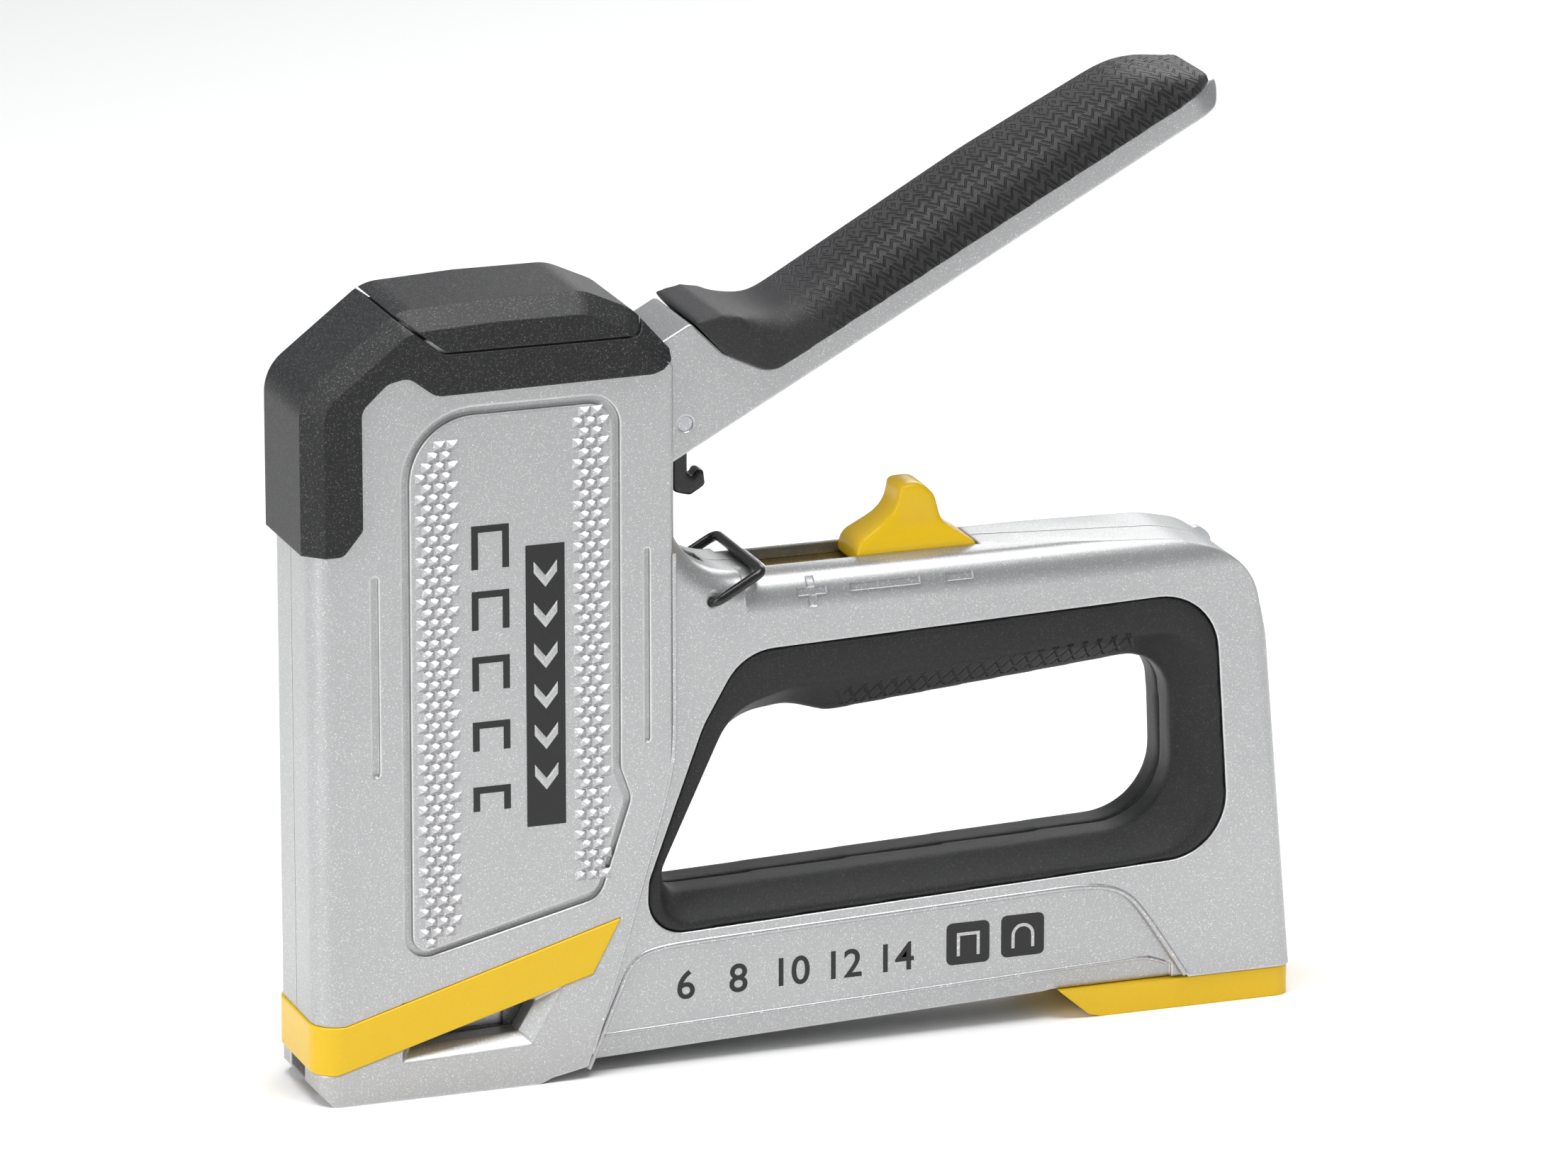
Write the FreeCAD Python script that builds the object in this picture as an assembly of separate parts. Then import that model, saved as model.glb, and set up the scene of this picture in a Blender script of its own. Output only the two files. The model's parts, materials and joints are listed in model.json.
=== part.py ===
import FreeCAD, Part
import math
import os

Vec = FreeCAD.Vector
ACROSS = Vec(0, 1, 0)

# Cable staple gun. Millimetres. The origin is where a staple leaves the nose: on the mid-plane, on the
# driver axis, at the work face (Z = 0). X runs to the rear, Y to the right-hand side, Z up.

# ---- overall
nose_ahead = 5.0                # driver axis to the front face
tower_depth = 70.0              # front face to the back of the tower
tower_half = 13.0               # mid-plane to the side of the tower
tower_top = 149.4               # work face to the top of the housing, under the cap
body_length = 194.3             # front face to the rear of the heel
brow_x = 11.0                   # the slope at the front of the top ends here
brow_drop = 2.0                 # and is this far under the top there
brow_low = 15.6                 # and this far under it at the front face
tower_rise = 55.4               # handle top to the housing top
handle_half = 12.0
side_wall = 2.2
end_wall = 2.5
cap_shoulder = 4.0              # how far the housing steps in and down under the cap's bevels
cap_overhang = 1.5
cap_lift = 2.0
cap_bevel = 3.6
cap_side_drop = 43.2            # housing top to the lower end of the cap's front
fit_gap = 0.1                   # play all round a piece that sits in a pocket
slide_gap = 0.05                # play on a side that slides
pin_gap = 0.04                  # radial play of pins and rivets

front_x = -nose_ahead
rear_x = front_x + body_length
tower_rear = front_x + tower_depth
cavity_half = tower_half - side_wall
cavity_front = front_x + end_wall
cavity_rear = tower_rear - end_wall

# ---- side panel of the tower
panel_front = 12.0
panel_below_top = 17.5
panel_arc = 14.0
panel_groove_width = 1.6
panel_groove_depth = 1.2

lower_panel_depth = 1.2
lower_strip_depth = 2.0

# ---- nose, band and cable groove
groove_half = 4.6
groove_height = 8.0
nose_length = 43.0              # front face to where the nose lifts off the work
band_thickness = 1.2
band_proud = 0.4
band_height = 9.3
band_low_front = 6.2
band_corner_x = -1.5            # where the side run of the band begins
band_end_x = 54.0               # sides of the band end here
band_slope = 0.287              # rise of the band per millimetre to the rear

# ---- staples and magazine
crown_half = 5.3
leg_length = 10.0
wire = 1.2
staple_bottom = 9.3
strip_length = 59.0
channel_wall = 1.0
channel_rear = 170.0
rail_wall = 0.85
rail_rear = 168.0
blade_thickness = 1.2
guide_thickness = 1.6
pusher_length = 11.6
rod_radius = 1.25
rod_z = 13.0
pusher_spring_radius = 2.3
pusher_spring_wire = 0.7
pusher_spring_turns = 21
carrier_x = 156.0
carrier_length = 10.0

# ---- striker and main spring
cup_x = 7.1
cup_radius = 7.4
cup_below_top = 65.4            # housing top to the underside of the spring cup
cup_height = 34.5
cup_floor = 6.0
block_height = 10.0
spring_radius = 4.8             # mean radius of the coils
spring_wire = 1.8
spring_turns = 9
guide_rod_radius = 3.0
guide_rod_length = 26.0
seat_thickness = 2.0
bumper_height = 4.1
shelf_thickness = 3.6
bumper_gap = 0.3
lug_x = 5.5
lug_radius = 3.0
lug_gap = 0.12
seat_below_top = 14.4           # tower top to the spring's upper seat
seat_rear_x = 20.0

# ---- lever
pivot_x = 40.0
pivot_below_top = 27.4
pin_radius = 3.0
lever_slope = 28.4              # degrees above level when open
lever_swing = 27.0              # degrees from open to closed
lever_half = 10.0
lever_length = 145.0            # pivot to tip
lever_low = -16.7               # pivot line to the underside
lever_seat = -12.2              # pivot line to the grip seat
head_top = 4.5
head_start = 16.5
hub_radius = 9.0
hub_half = 7.5
grip_start = 37.0
grip_half = 12.0
grip_top = -1.0
grip_edge = 5.5                 # how far the grip's crown falls to its sides
arm_length = 34.5
arm_down = 25.0                 # degrees that the open lever's lift arms point down to the front
arm_thickness = 2.0
arm_tip_radius = 3.0
rivet_radius = 1.8
rivet_u = 11.5

# ---- hook and bail
hook_half = 2.0
hook_slot_floor = 0.2           # handle top to the floor of the hook's slot
hook_rivet_radius = 1.5
bail_x = 72.5
bail_z_below_top = 4.2
bail_wire = 0.95
bail_reach_x = 9.5
bail_reach_z = 5.25
bail_inner_gap = 0.3            # the power plate to the inner ends of the bail

# ---- power slider
slot_front = 85.0
slot_rear = 127.5
slot_half = 5.85
top_skin = 2.5
slider_length = 24.0
slider_height = 12.3
plate_thickness = 1.2
plate_half = 8.5
plate_front = 74.0

# ---- hand opening and liner
liner_half = 12.2
liner_flare = 6.0
liner_flare_depth = 6.0
liner_gap = 0.05

# ---- heel
heel_front = 142.0
heel_height = 5.8
heel_half = 11.6
underside = 6.0                 # housing underside above the heel

# ---- screws
screw_head = 3.2
screw_shank = 1.6
boss_radius = 3.6

# ---- worked out
handle_top = tower_top - tower_rise
cup_bottom = tower_top - cup_below_top
pivot_z = tower_top - pivot_below_top
arm_rest = math.radians(arm_down)
tip_x = pivot_x - arm_length * math.cos(arm_rest)
tip_z = pivot_z - arm_length * math.sin(arm_rest)
strip_front = blade_thickness / 2.0 + 0.15
crown_top = staple_bottom + leg_length
channel_half = crown_half + 0.2 + channel_wall
channel_top = crown_top + 0.2 + channel_wall
magazine_half = channel_half + fit_gap
magazine_top = channel_top + fit_gap
tunnel_roof = magazine_top + end_wall
rail_half = crown_half - wire - slide_gap
rail_top = crown_top - wire - slide_gap
striker_bottom = cup_bottom - block_height
shelf_top = striker_bottom - bumper_gap - bumper_height
seat_z = tower_top - seat_below_top
bail_z = handle_top - bail_z_below_top
bail_half = handle_half + bail_wire + 0.15
bail_inner = plate_half + bail_inner_gap
nose_rear = front_x + nose_length + 2.5
panel_top = tower_top - panel_below_top
core_cavity_half = cavity_half - cap_shoulder
brow_slope = (brow_low - brow_drop) / (brow_x - front_x)


# ---------------------------------------------------------------- helpers
def box(x0, x1, y0, y1, z0, z1):
    return Part.makeBox(x1 - x0, y1 - y0, z1 - z0, Vec(x0, y0, z0))


def rod(start, end, radius):
    """A round bar from one point to another."""
    line = end - start
    return Part.makeCylinder(radius, line.Length, start, line)


def cross_rod(x, z, radius, y0, y1):
    return rod(Vec(x, y0, z), Vec(x, y1, z), radius)


def outline(corners):
    """Closed wire in the XZ plane through (x, z) or (x, z, radius) corners."""
    points = [Vec(c[0], 0, c[1]) for c in corners]
    count = len(points)
    halves = []
    wanted = []
    for i, here in enumerate(points):
        to_last = points[i - 1] - here
        to_next = points[(i + 1) % count] - here
        halves.append(to_last.getAngle(to_next) / 2.0)
        wanted.append((corners[i][2] if len(corners[i]) > 2 else 0.0) / math.tan(halves[i]))
    # two neighbouring arcs that are longer than the side between them share that side
    share = []
    for i, here in enumerate(points):
        length = (points[(i + 1) % count] - here).Length
        share.append(min(1.0, length / max(wanted[i] + wanted[(i + 1) % count], 1e-9)))
    stretches = []
    for i, here in enumerate(points):
        to_last = (points[i - 1] - here).normalize()
        to_next = (points[(i + 1) % count] - here).normalize()
        setback = wanted[i] * min(share[i], share[i - 1])
        middle = to_last + to_next
        if setback > 0:
            radius = setback * math.tan(halves[i])
            middle.normalize()
            middle = here + middle * (radius / math.sin(halves[i]) - radius)
        stretches.append((here + to_last * setback, middle, here + to_next * setback, setback > 0))
    edges = []
    for i, (start, middle, end, is_round) in enumerate(stretches):
        if is_round:
            edges.append(Part.Arc(start, middle, end).toShape())
        following = stretches[(i + 1) % count][0]
        if (following - end).Length > 1e-6:
            edges.append(Part.LineSegment(end, following).toShape())
    return Part.Wire(edges)


def prism(corners, y0, y1):
    """A side-view outline, y0 to y1 across."""
    face = Part.Face(outline(corners))
    face.translate(Vec(0, y0, 0))
    return face.extrude(Vec(0, y1 - y0, 0))


def plan_prism(x0, x1, half, front_radius, rear_radius, z0, z1, lean=0.0):
    """A plan-view rectangle with rounded corners, z0 to z1 up; its top is moved by lean along X."""
    wire_xz = outline([
        (x0, -half, front_radius), (x1, -half, rear_radius),
        (x1, half, rear_radius), (x0, half, front_radius),
    ])
    face = Part.Face(wire_xz)
    face.rotate(Vec(0, 0, 0), Vec(1, 0, 0), -90)
    face.translate(Vec(0, 0, z0))
    return face.extrude(Vec(lean, 0, z1 - z0))


def section_prism(half, z0, z1, top_radius, x0, x1):
    """A front-view rectangle with rounded top corners, x0 to x1 along."""
    wire_xz = outline([(-half, z0), (half, z0), (half, z1, top_radius), (-half, z1, top_radius)])
    face = Part.Face(wire_xz)
    face.rotate(Vec(0, 0, 0), Vec(0, 0, 1), 90)
    face.translate(Vec(x0, 0, 0))
    return face.extrude(Vec(x1 - x0, 0, 0))


def both_sides(x, z, radius, y0, y1):
    """The same round bar on the left and on the right."""
    return [cross_rod(x, z, radius, -y1, -y0), cross_rod(x, z, radius, y0, y1)]


def coil(start, direction, radius, wire_radius, length, turns):
    """A round-wire helical spring that starts at a point and runs along a direction."""
    helix = Part.makeHelix(length / turns, length, radius)
    ring = Part.Wire([Part.Circle(Vec(radius, 0, 0), ACROSS, wire_radius).toShape()])
    body = Part.Wire(helix.Edges).makePipeShell([ring], True, True)
    body.Placement = FreeCAD.Placement(start, FreeCAD.Rotation(Vec(0, 0, 1), direction))
    return body


def fuse(shapes):
    joined = shapes[0]
    if len(shapes) > 1:
        joined = shapes[0].fuse(shapes[1:])
    return joined.removeSplitter()


def largest(shape):
    return max(shape.Solids, key=lambda s: s.Volume)


def on_lever(u, w):
    """World X and Z of a point u along the open lever and w above its pivot line."""
    a = math.radians(lever_slope)
    return (pivot_x + u * math.cos(a) - w * math.sin(a), pivot_z + u * math.sin(a) + w * math.cos(a))


def lever_prism(corners, y0, y1):
    """A prism whose outline is given in the lever's own (u, w[, radius])."""
    return prism([on_lever(c[0], c[1]) + tuple(c[2:]) for c in corners], y0, y1)


# ---------------------------------------------------------------- outlines shared by pieces
def tower_corners(drop=0.0):
    """The tower's side view; drop lowers its top."""
    top = tower_top - drop
    return [
        (front_x, 3.2), (front_x + 3.0, 0.0), (front_x + nose_length, 0.0), (nose_rear, 1.0),
        (band_end_x - 6.5, 2.4, 0.8), (tower_rear - 8.0, 32.0, 25.0), (tower_rear, handle_top - 32.0, 25.0),
        (tower_rear, tower_top - 13.4, 2.0), (tower_rear - 8.0, top - 4.6),
        (tower_rear - 15.0, top), (brow_x + 6.5, top), (brow_x, top - brow_drop),
        (front_x, top - brow_low),
    ]


def tower_block(grow=0.0):
    """The tower's outside; grow makes the copy that clears pieces fitted over it."""
    core_half = tower_half - cap_shoulder
    side = fuse([prism(tower_corners(cap_shoulder), -tower_half - grow, tower_half + grow),
                 prism(tower_corners(), -core_half - grow, core_half + grow)])
    if grow > 0:
        side = fuse([side, side.translated(Vec(-grow, 0, 0)), side.translated(Vec(0, 0, grow)),
                     side.translated(Vec(-grow, 0, grow))])
    plan = plan_prism(front_x - grow, tower_rear + grow, tower_half + grow, 5.0, 1.6, -1.0, tower_top + 10.0)
    return side.common(plan)


def handle_corners():
    heel_lean = 5.4
    return [
        (front_x + 50.0, 2.6), (heel_front - 3.0, underside - 0.3), (heel_front - 1.0, underside),
        (rear_x, underside), (rear_x - heel_lean, handle_top - 24.0, 40.0), (rear_x - 10.0, handle_top - 5.5, 14.0),
        (rear_x - 24.0, handle_top - 1.8, 20.0), (rear_x - 60.0, handle_top), (tower_rear - 6.0, handle_top),
        (tower_rear - 6.0, 60.0),
    ]


def handle_block():
    side = prism(handle_corners(), -handle_half, handle_half)
    section = section_prism(handle_half, 0.0, handle_top, 7.5, front_x, rear_x + 5.0)
    plan = plan_prism(front_x, rear_x + 0.6, handle_half, 1.0, 3.0, 0.0, handle_top + 6.0, -8.4)
    return side.common(section).common(plan)


def saddle_web():
    """The concave sweep from the back of the tower down to the handle."""
    sweep = 14.0
    x0 = tower_rear - 4.0
    z0 = handle_top - 8.0
    web = prism([
        (x0, z0), (tower_rear + sweep, z0), (tower_rear + sweep, handle_top),
        (tower_rear, handle_top, sweep), (tower_rear, handle_top + sweep), (x0, handle_top + sweep),
    ], -handle_half, handle_half)
    arcs = [e for e in web.Edges if e.Curve.TypeId == "Part::GeomCircle"]
    return web.makeFillet(5.0, arcs)


def opening_corners(inset=0.0):
    """The hand opening; inset moves every side inwards."""
    i = inset
    rear = rear_x - 13.6
    return [
        (tower_rear - 5.6 + i, 25.9 + i, 7.0), (rear + 0.4 - i, 30.0 + i, 12.0),
        (rear - 3.0 - i, handle_top - 11.8 - i, 12.0), (tower_rear + 13.5 + i, handle_top - 14.4 - i, 11.0),
        (tower_rear + 5.6 + i * 1.1, handle_top - 28.0, 20.0), (tower_rear - 5.1 + i * 1.1, 37.0, 6.0),
    ]


def liner_inner_corners(flare=0.0):
    """The finger opening left inside the liner; flare widens it towards the outer face."""
    rear = rear_x - 22.6 + flare
    low = 32.4 - 0.8 * flare
    lift = 0.9 * flare
    front = tower_rear - 0.7 - 0.35 * flare
    top = handle_top - 24.0
    return [
        (front + 0.5, low, 3.0 + 0.35 * flare), (rear, low + 3.2, 13.0), (rear - 1.6, top + lift, 9.0),
        (tower_rear + 32.0, top - 5.6 + 1.5 * lift, 6.0), (tower_rear + 24.0, top - 3.1 + lift, 12.0),
        (tower_rear + 11.5, top - 4.4 + 0.6 * lift, 12.0), (front, 38.5, 3.0),
    ]


def band_region(margin=0.0):
    """Side view of the strip that the nose band covers."""
    low = band_low_front - margin
    high = band_low_front + band_height + margin
    end_low = band_end_x - 5.5 + margin
    end_high = band_end_x + margin
    return [
        (front_x - 3.0, low), (band_corner_x, low), (end_low, low + band_slope * (end_low - band_corner_x)),
        (end_high, high + band_slope * (end_high - 0.5)), (0.5, high), (front_x - 3.0, high),
    ]


def cap_corners():
    """The cap's side view: outside first, then its scalloped lower edge."""
    top = tower_top + cap_lift
    front = front_x - cap_overhang + 0.1
    low = tower_top - cap_side_drop
    rear = tower_rear - 0.4
    return [
        (front, low), (front, top - 15.5, 9.0), (12.6, top - 0.8, 9.0), (30.0, top), (48.0, top - 0.1, 9.0),
        (57.4, top - 4.4, 9.0), (rear, top - 12.6), (rear, top - 14.6, 0.8), (rear - 4.2, top - 16.2, 3.0),
        (18.6, top - 16.6, 4.0), (13.4, top - 12.6, 3.0), (9.4, top - 13.4, 3.0), (4.4, top - 18.0, 3.0),
        (4.4, low + 4.6, 1.5), (0.6, low, 2.0),
    ]


def insert_region(margin=0.0):
    """Side view of the cap's separate top insert."""
    top = tower_top + cap_lift
    m = margin
    rear = tower_rear - 6.0
    return [
        (brow_x - 7.5 + m, top + 4.4), (brow_x + 9.2 + m, top - 8.9 + m, 3.0), (rear - m, top - 9.0 + m, 2.0),
        (rear + 0.6 - m, top + 6.0), (brow_x - 7.5 + m, top + 6.5),
    ]


def screw_places():
    """X, Z and the half width of the housing at each screw."""
    return [
        (22.0, handle_top - 2.0, tower_half), (30.0, 42.0, tower_half),
        (tower_rear - 9.0, handle_top - 12.0, tower_half), (rear_x - 12.5, handle_top - 9.0, handle_half),
        (rear_x - 7.0, 22.0, handle_half),
    ]


def brow_inner_x(z):
    """X of the inside of the sloping front wall at a height, clear of the stepped shoulders."""
    wall = end_wall * math.hypot(1.0, brow_slope)
    return front_x + (z - tower_top + brow_low + wall) / brow_slope


def upper_cavity_corners(drop=0.0):
    """Side view of the room for the striker and the lever; drop lowers its top and front slope."""
    seat_top = seat_z + seat_thickness + slide_gap
    ceiling = tower_top - end_wall - drop
    brow_z = tower_top - brow_low + brow_slope * end_wall - end_wall * math.hypot(1.0, brow_slope) - drop
    return [
        (cavity_front, shelf_top), (cavity_front, brow_z), (brow_inner_x(seat_top + drop), seat_top),
        (seat_rear_x, seat_top), (seat_rear_x, ceiling), (cavity_rear, ceiling), (cavity_rear, shelf_top),
    ]


# ---------------------------------------------------------------- housing
def housing_shell():
    """Both halves in one, hollowed, before it is split on the mid-plane."""
    shell = fuse([tower_block(), handle_block(), saddle_web()])
    cuts = [
        prism(opening_corners(), -tower_half - 1, tower_half + 1),
        prism(upper_cavity_corners(), -core_cavity_half, core_cavity_half),
        prism(upper_cavity_corners(cap_shoulder), -cavity_half, cavity_half),
        prism([(cavity_front, tunnel_roof), (tower_rear - 19.0, tunnel_roof), (tower_rear - 15.0, 36.0),
               (cavity_rear, handle_top - 28.0),
               (cavity_rear, shelf_top + 1), (14.0, shelf_top + 1), (14.0, shelf_top - shelf_thickness),
               (cavity_front, shelf_top - shelf_thickness)], -cavity_half, cavity_half),
        # driver and guide plate run down through the shelf and the nose
        box(-blade_thickness / 2 - 0.1, blade_thickness / 2 + 0.1, -crown_half - 0.1, crown_half + 0.1,
            -1.0, striker_bottom),
        box(cavity_front, strip_front + 0.15, -magazine_half, magazine_half, groove_height, tunnel_roof + 1.0),
        # magazine tunnel, open at the rear, and the cable groove below it
        box(0.7, rear_x + 5, -magazine_half, magazine_half, groove_height, magazine_top),
        box(front_x - 1, heel_front + 6, -groove_half, groove_half, -1.0, groove_height + 0.1),
        box(heel_front - 2, rear_x + 5, -magazine_half, magazine_half, underside - 4, groove_height + 0.1),
        # lever mouth and hook slot at the back of the tower
        box(cavity_rear - 1, tower_rear + 6, -lever_half - 0.5, lever_half + 0.5, handle_top + 10.2,
            tower_top + 1),
        box(tower_rear - 12, tower_rear + 9, -hook_half - 1.2, hook_half + 1.2,
            handle_top + hook_slot_floor, handle_top + 16.0),
        # power slider slot and the space that its plate slides in
        box(slot_front, slot_rear, -slot_half, slot_half, handle_top - 8, handle_top + 5),
        box(tower_rear - 12, slot_rear + 3.0, -plate_half - fit_gap, plate_half + fit_gap,
            handle_top - 9.5, handle_top - top_skin),
        # seat for the nose band
        tower_block().common(prism(band_region(fit_gap), -20, 20)).cut(band_core(fit_gap)),
    ]
    shell = shell.cut(cuts)
    bosses = []
    for x, z, half in screw_places()[:3]:
        bosses.append(cross_rod(x, z, boss_radius, -cavity_half - 0.5, cavity_half + 0.5))
    shell = fuse([shell] + bosses)
    shell = shell.cut(lower_panel_cuts() + window_cuts())
    return shell.cut(both_sides(pivot_x, pivot_z, pin_radius + pin_gap, 0.0, tower_half - 1.2)
                     + both_sides(bail_x, bail_z, bail_wire + pin_gap, bail_inner - 0.3, 14.0))


def lower_panel_cuts():
    """The sunk panel along the magazine and its deeper lower strip, on both sides."""
    end = rear_x - 20.8
    panel = [
        (front_x + 52.6, 0.0), (front_x + 53.8, 3.5), (front_x + 61.4, 20.8, 4.0), (front_x + 65.8, 23.9, 6.0),
        (end - 18.0, 26.6, 7.0), (end - 11.0, 22.5, 9.0), (end, 5.2), (end, 0.0),
    ]
    strip = [
        (front_x + 54.5, 0.0), (front_x + 54.5, 5.4), (front_x + 56.5, 7.4), (end - 8.0, 10.6),
        (end - 3.5, 8.6), (end - 3.5, 0.0),
    ]
    cuts = []
    for side in (-1, 1):
        outer = side * (tower_half + 1)
        for shape, depth in ((panel, lower_panel_depth), (strip, lower_strip_depth)):
            cuts.append(prism(shape, outer, side * (handle_half - depth)))
    return cuts


def window_cuts():
    """The bevelled sight window over the cable groove, on both sides."""
    outer = [(11.2, 7.2), (36.8, 8.0), (43.2, 19.0), (11.2, 19.0)]
    inner = [(13.4, 9.6), (34.6, 10.2), (38.0, 16.0), (13.4, 16.0)]
    cuts = []
    for side in (-1, 1):
        wide = outline(outer)
        narrow = outline(inner)
        wide.translate(Vec(0, side * (tower_half + 0.01), 0))
        narrow.translate(Vec(0, side * (tower_half - 2.4), 0))
        cuts.append(Part.makeLoft([wide, narrow], True, True))
        cuts.append(prism(inner, side * (magazine_half - 1), side * (tower_half - 2.3)))
    return cuts


def panel_groove(side):
    """The framing groove round the tower's side panel."""
    def ring(inset):
        i = inset
        rear = tower_rear - 10.8
        return [
            (panel_front + i, 26.2 + i, 4.5 - i), (rear - 4.2 - i * 0.4, 35.2 + i, 4.5 - i),
            (rear + 2.1 - i, 54.0, 4.0), (rear - i, 60.0, 4.0), (rear + 0.1 - i, panel_top - i, 6.0 - i),
            (panel_front + 0.2 + i, panel_top - i, panel_arc - i),
        ]
    y_out = side * (tower_half + 1)
    y_in = side * (tower_half - panel_groove_depth)
    return prism(ring(0.0), y_out, y_in).cut(prism(ring(panel_groove_width), y_out, y_in))


def short_groove(x, low, high, half, side):
    """An upright groove with round ends."""
    mid_y = side * (tower_half - 0.8)
    out_y = side * (tower_half + 1)
    end = half * 0.98
    return prism([(x - half, low, end), (x + half, low, end), (x + half, high, end), (x - half, high, end)],
                 mid_y, out_y)


def housing_half(side):
    """One half: side is -1 for the left and 1 for the right."""
    keep = box(front_x - 20, rear_x + 20, 0, 30, -5, tower_top + 20)
    if side < 0:
        keep = box(front_x - 20, rear_x + 20, -30, 0, -5, tower_top + 20)
    half = housing_shell().common(keep)
    cuts = [
        panel_groove(side),
        short_groove(6.9, handle_top - 31.0, tower_top - 48.0, 0.75, side),
        short_groove(tower_rear - 5.6, handle_top - 29.6, tower_top - 47.6, 0.55, side),
    ]
    for x, z, width in screw_places():
        if side > 0:
            cuts.append(cross_rod(x, z, screw_shank + pin_gap, -1, 30))
            cuts.append(cross_rod(x, z, screw_head + fit_gap, width - 3.0, 30))
        else:
            cuts.append(cross_rod(x, z, screw_shank + pin_gap, -7.2, 1))
    return largest(half.cut(cuts))


def housing_screws():
    screws = []
    for x, z, width in screw_places():
        head = cross_rod(x, z, screw_head, width - 3.0, width - 0.9)
        socket = cross_rod(x, z, 1.3, width - 2.0, width)
        shank = cross_rod(x, z, screw_shank, -7.0, width - 2.9)
        screws.append(fuse([head.cut(socket), shank]))
    return Part.makeCompound(screws)


# ---------------------------------------------------------------- covers
def band_core(gap=0.0):
    """What stays inside the nose band."""
    inner = band_proud - band_thickness - gap
    return plan_prism(front_x - inner, tower_rear, tower_half + inner, 5.0 + inner, 1.0, -2.0, tower_top)


def nose_band():
    outer = plan_prism(front_x - band_proud, tower_rear, tower_half + band_proud, 5.0 + band_proud, 1.0,
                       -2.0, tower_top)
    return largest(outer.cut(band_core()).common(prism(band_region(), -20, 20)))


def cap_body():
    half = tower_half + cap_overhang
    body = prism(cap_corners(), -half, half)
    outside = []
    top = tower_top + cap_lift
    for edge in body.Edges:
        mid = edge.valueAt((edge.FirstParameter + edge.LastParameter) / 2)
        across = abs(edge.Vertexes[0].Point.y - edge.Vertexes[-1].Point.y) > 1
        is_upper = mid.z > top - 13 and (mid.x > 13 or mid.z > top - 11)
        is_front = mid.x < front_x + 3.5 and mid.z > tower_top - 43
        is_slope = mid.x < 20 and mid.z > top - 12 and mid.z > top - 10.5 + (mid.x - 6) * 0.4
        if across or not (is_front or is_slope or is_upper):
            continue
        if 7 < mid.x < 20 and mid.z < top - 11:
            continue
        outside.append(edge)
    body = body.makeChamfer(cap_bevel, outside)
    mouth = box(tower_rear - 9, tower_rear + 5, -lever_half - 0.5, lever_half + 0.5, tower_top - 20,
                tower_top - 4.0)
    return body.cut([tower_block(fit_gap / 2), mouth])


def top_cap():
    return largest(cap_body().cut(prism(insert_region(), -20, 20)))


def cap_insert():
    return largest(cap_body().common(prism(insert_region(0.45), -20, 20)))


def grip_liner(side):
    """Half of the rubber liner of the hand opening, flared towards its outer face."""
    ring = prism(opening_corners(liner_gap), 0, side * liner_half)
    hole = prism(liner_inner_corners(), -1 * side, side * (liner_half + 1))
    waist = outline(liner_inner_corners())
    rim = outline(liner_inner_corners(liner_flare))
    waist.translate(Vec(0, side * (liner_half - liner_flare_depth), 0))
    rim.translate(Vec(0, side * (liner_half + 0.01), 0))
    funnel = Part.makeLoft([waist, rim], True, True)
    return largest(ring.cut([hole, funnel]))


# ---------------------------------------------------------------- lever
def lever():
    bar = lever_prism([
        (head_start, lever_low, 2.0), (lever_length - 3.0, lever_low, 2.5), (lever_length + 0.5, -13.4, 1.0),
        (lever_length - 1.5, lever_seat), (grip_start + 7.0, lever_seat, 5.0), (grip_start + 1.0, -4.0, 3.0),
        (grip_start - 1.5, head_top, 1.0), (head_start, head_top, 2.0),
    ], -lever_half, lever_half)
    tip = lever_prism([(10.0, lever_low - 1), (lever_length + 1, lever_low - 1),
                       (lever_length + 1, head_top + 1), (10.0, head_top + 1)], -lever_half, lever_half)
    plan = plan_prism(head_start - 10, lever_length + 0.5, lever_half, 1.0, 8.0, -40, 40)
    plan.rotate(Vec(0, 0, 0), ACROSS, -lever_slope)
    plan.translate(Vec(pivot_x, 0, pivot_z))
    bar = bar.common(tip).common(plan)
    hollow = lever_prism([(head_start + 24, lever_low - 1), (lever_length - 9, lever_low - 1),
                          (lever_length - 11, lever_seat - 2.2), (head_start + 26, lever_seat - 2.2)],
                         -lever_half + 2.4, lever_half - 2.4)
    hub = cross_rod(pivot_x, pivot_z, hub_radius, -hub_half, hub_half)
    neck = lever_prism([(0, -hub_radius), (head_start + 1, lever_low + 3), (head_start + 1, head_top - 0.5),
                        (0, hub_radius - 2)], -hub_half, hub_half)
    body = fuse([bar.cut(hollow), hub, neck])
    coil_room = cross_rod(pivot_x, pivot_z, 5.8, -3.4, 3.4)
    leg_room = box(pivot_x - 6.2, pivot_x - 2.6, -3.4, 3.4, pivot_z - 12, pivot_z)
    leg_slot = lever_prism([(0, 3.2), (head_start - 1, 3.2), (head_start - 1, 10), (0, 10)], 1.2, 3.4)
    pin_hole = cross_rod(pivot_x, pivot_z, pin_radius + slide_gap, -12, 12)
    hook_room = lever_prism([(head_start + 4, lever_low - 1), (head_start + 14, lever_low - 1),
                             (head_start + 14, lever_low + 9), (head_start + 4, lever_low + 9)],
                            -hook_half - slide_gap, hook_half + slide_gap)
    holes = [coil_room, leg_room, leg_slot, pin_hole, hook_room]
    x, z = on_lever(rivet_u, 0)
    holes += both_sides(x, z, rivet_radius + pin_gap, 4.0, 12.0)
    x, z = hook_rivet_place()
    holes.append(cross_rod(x, z, hook_rivet_radius + pin_gap, -lever_half - 1, lever_half + 1))
    return largest(body.cut(holes))


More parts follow.
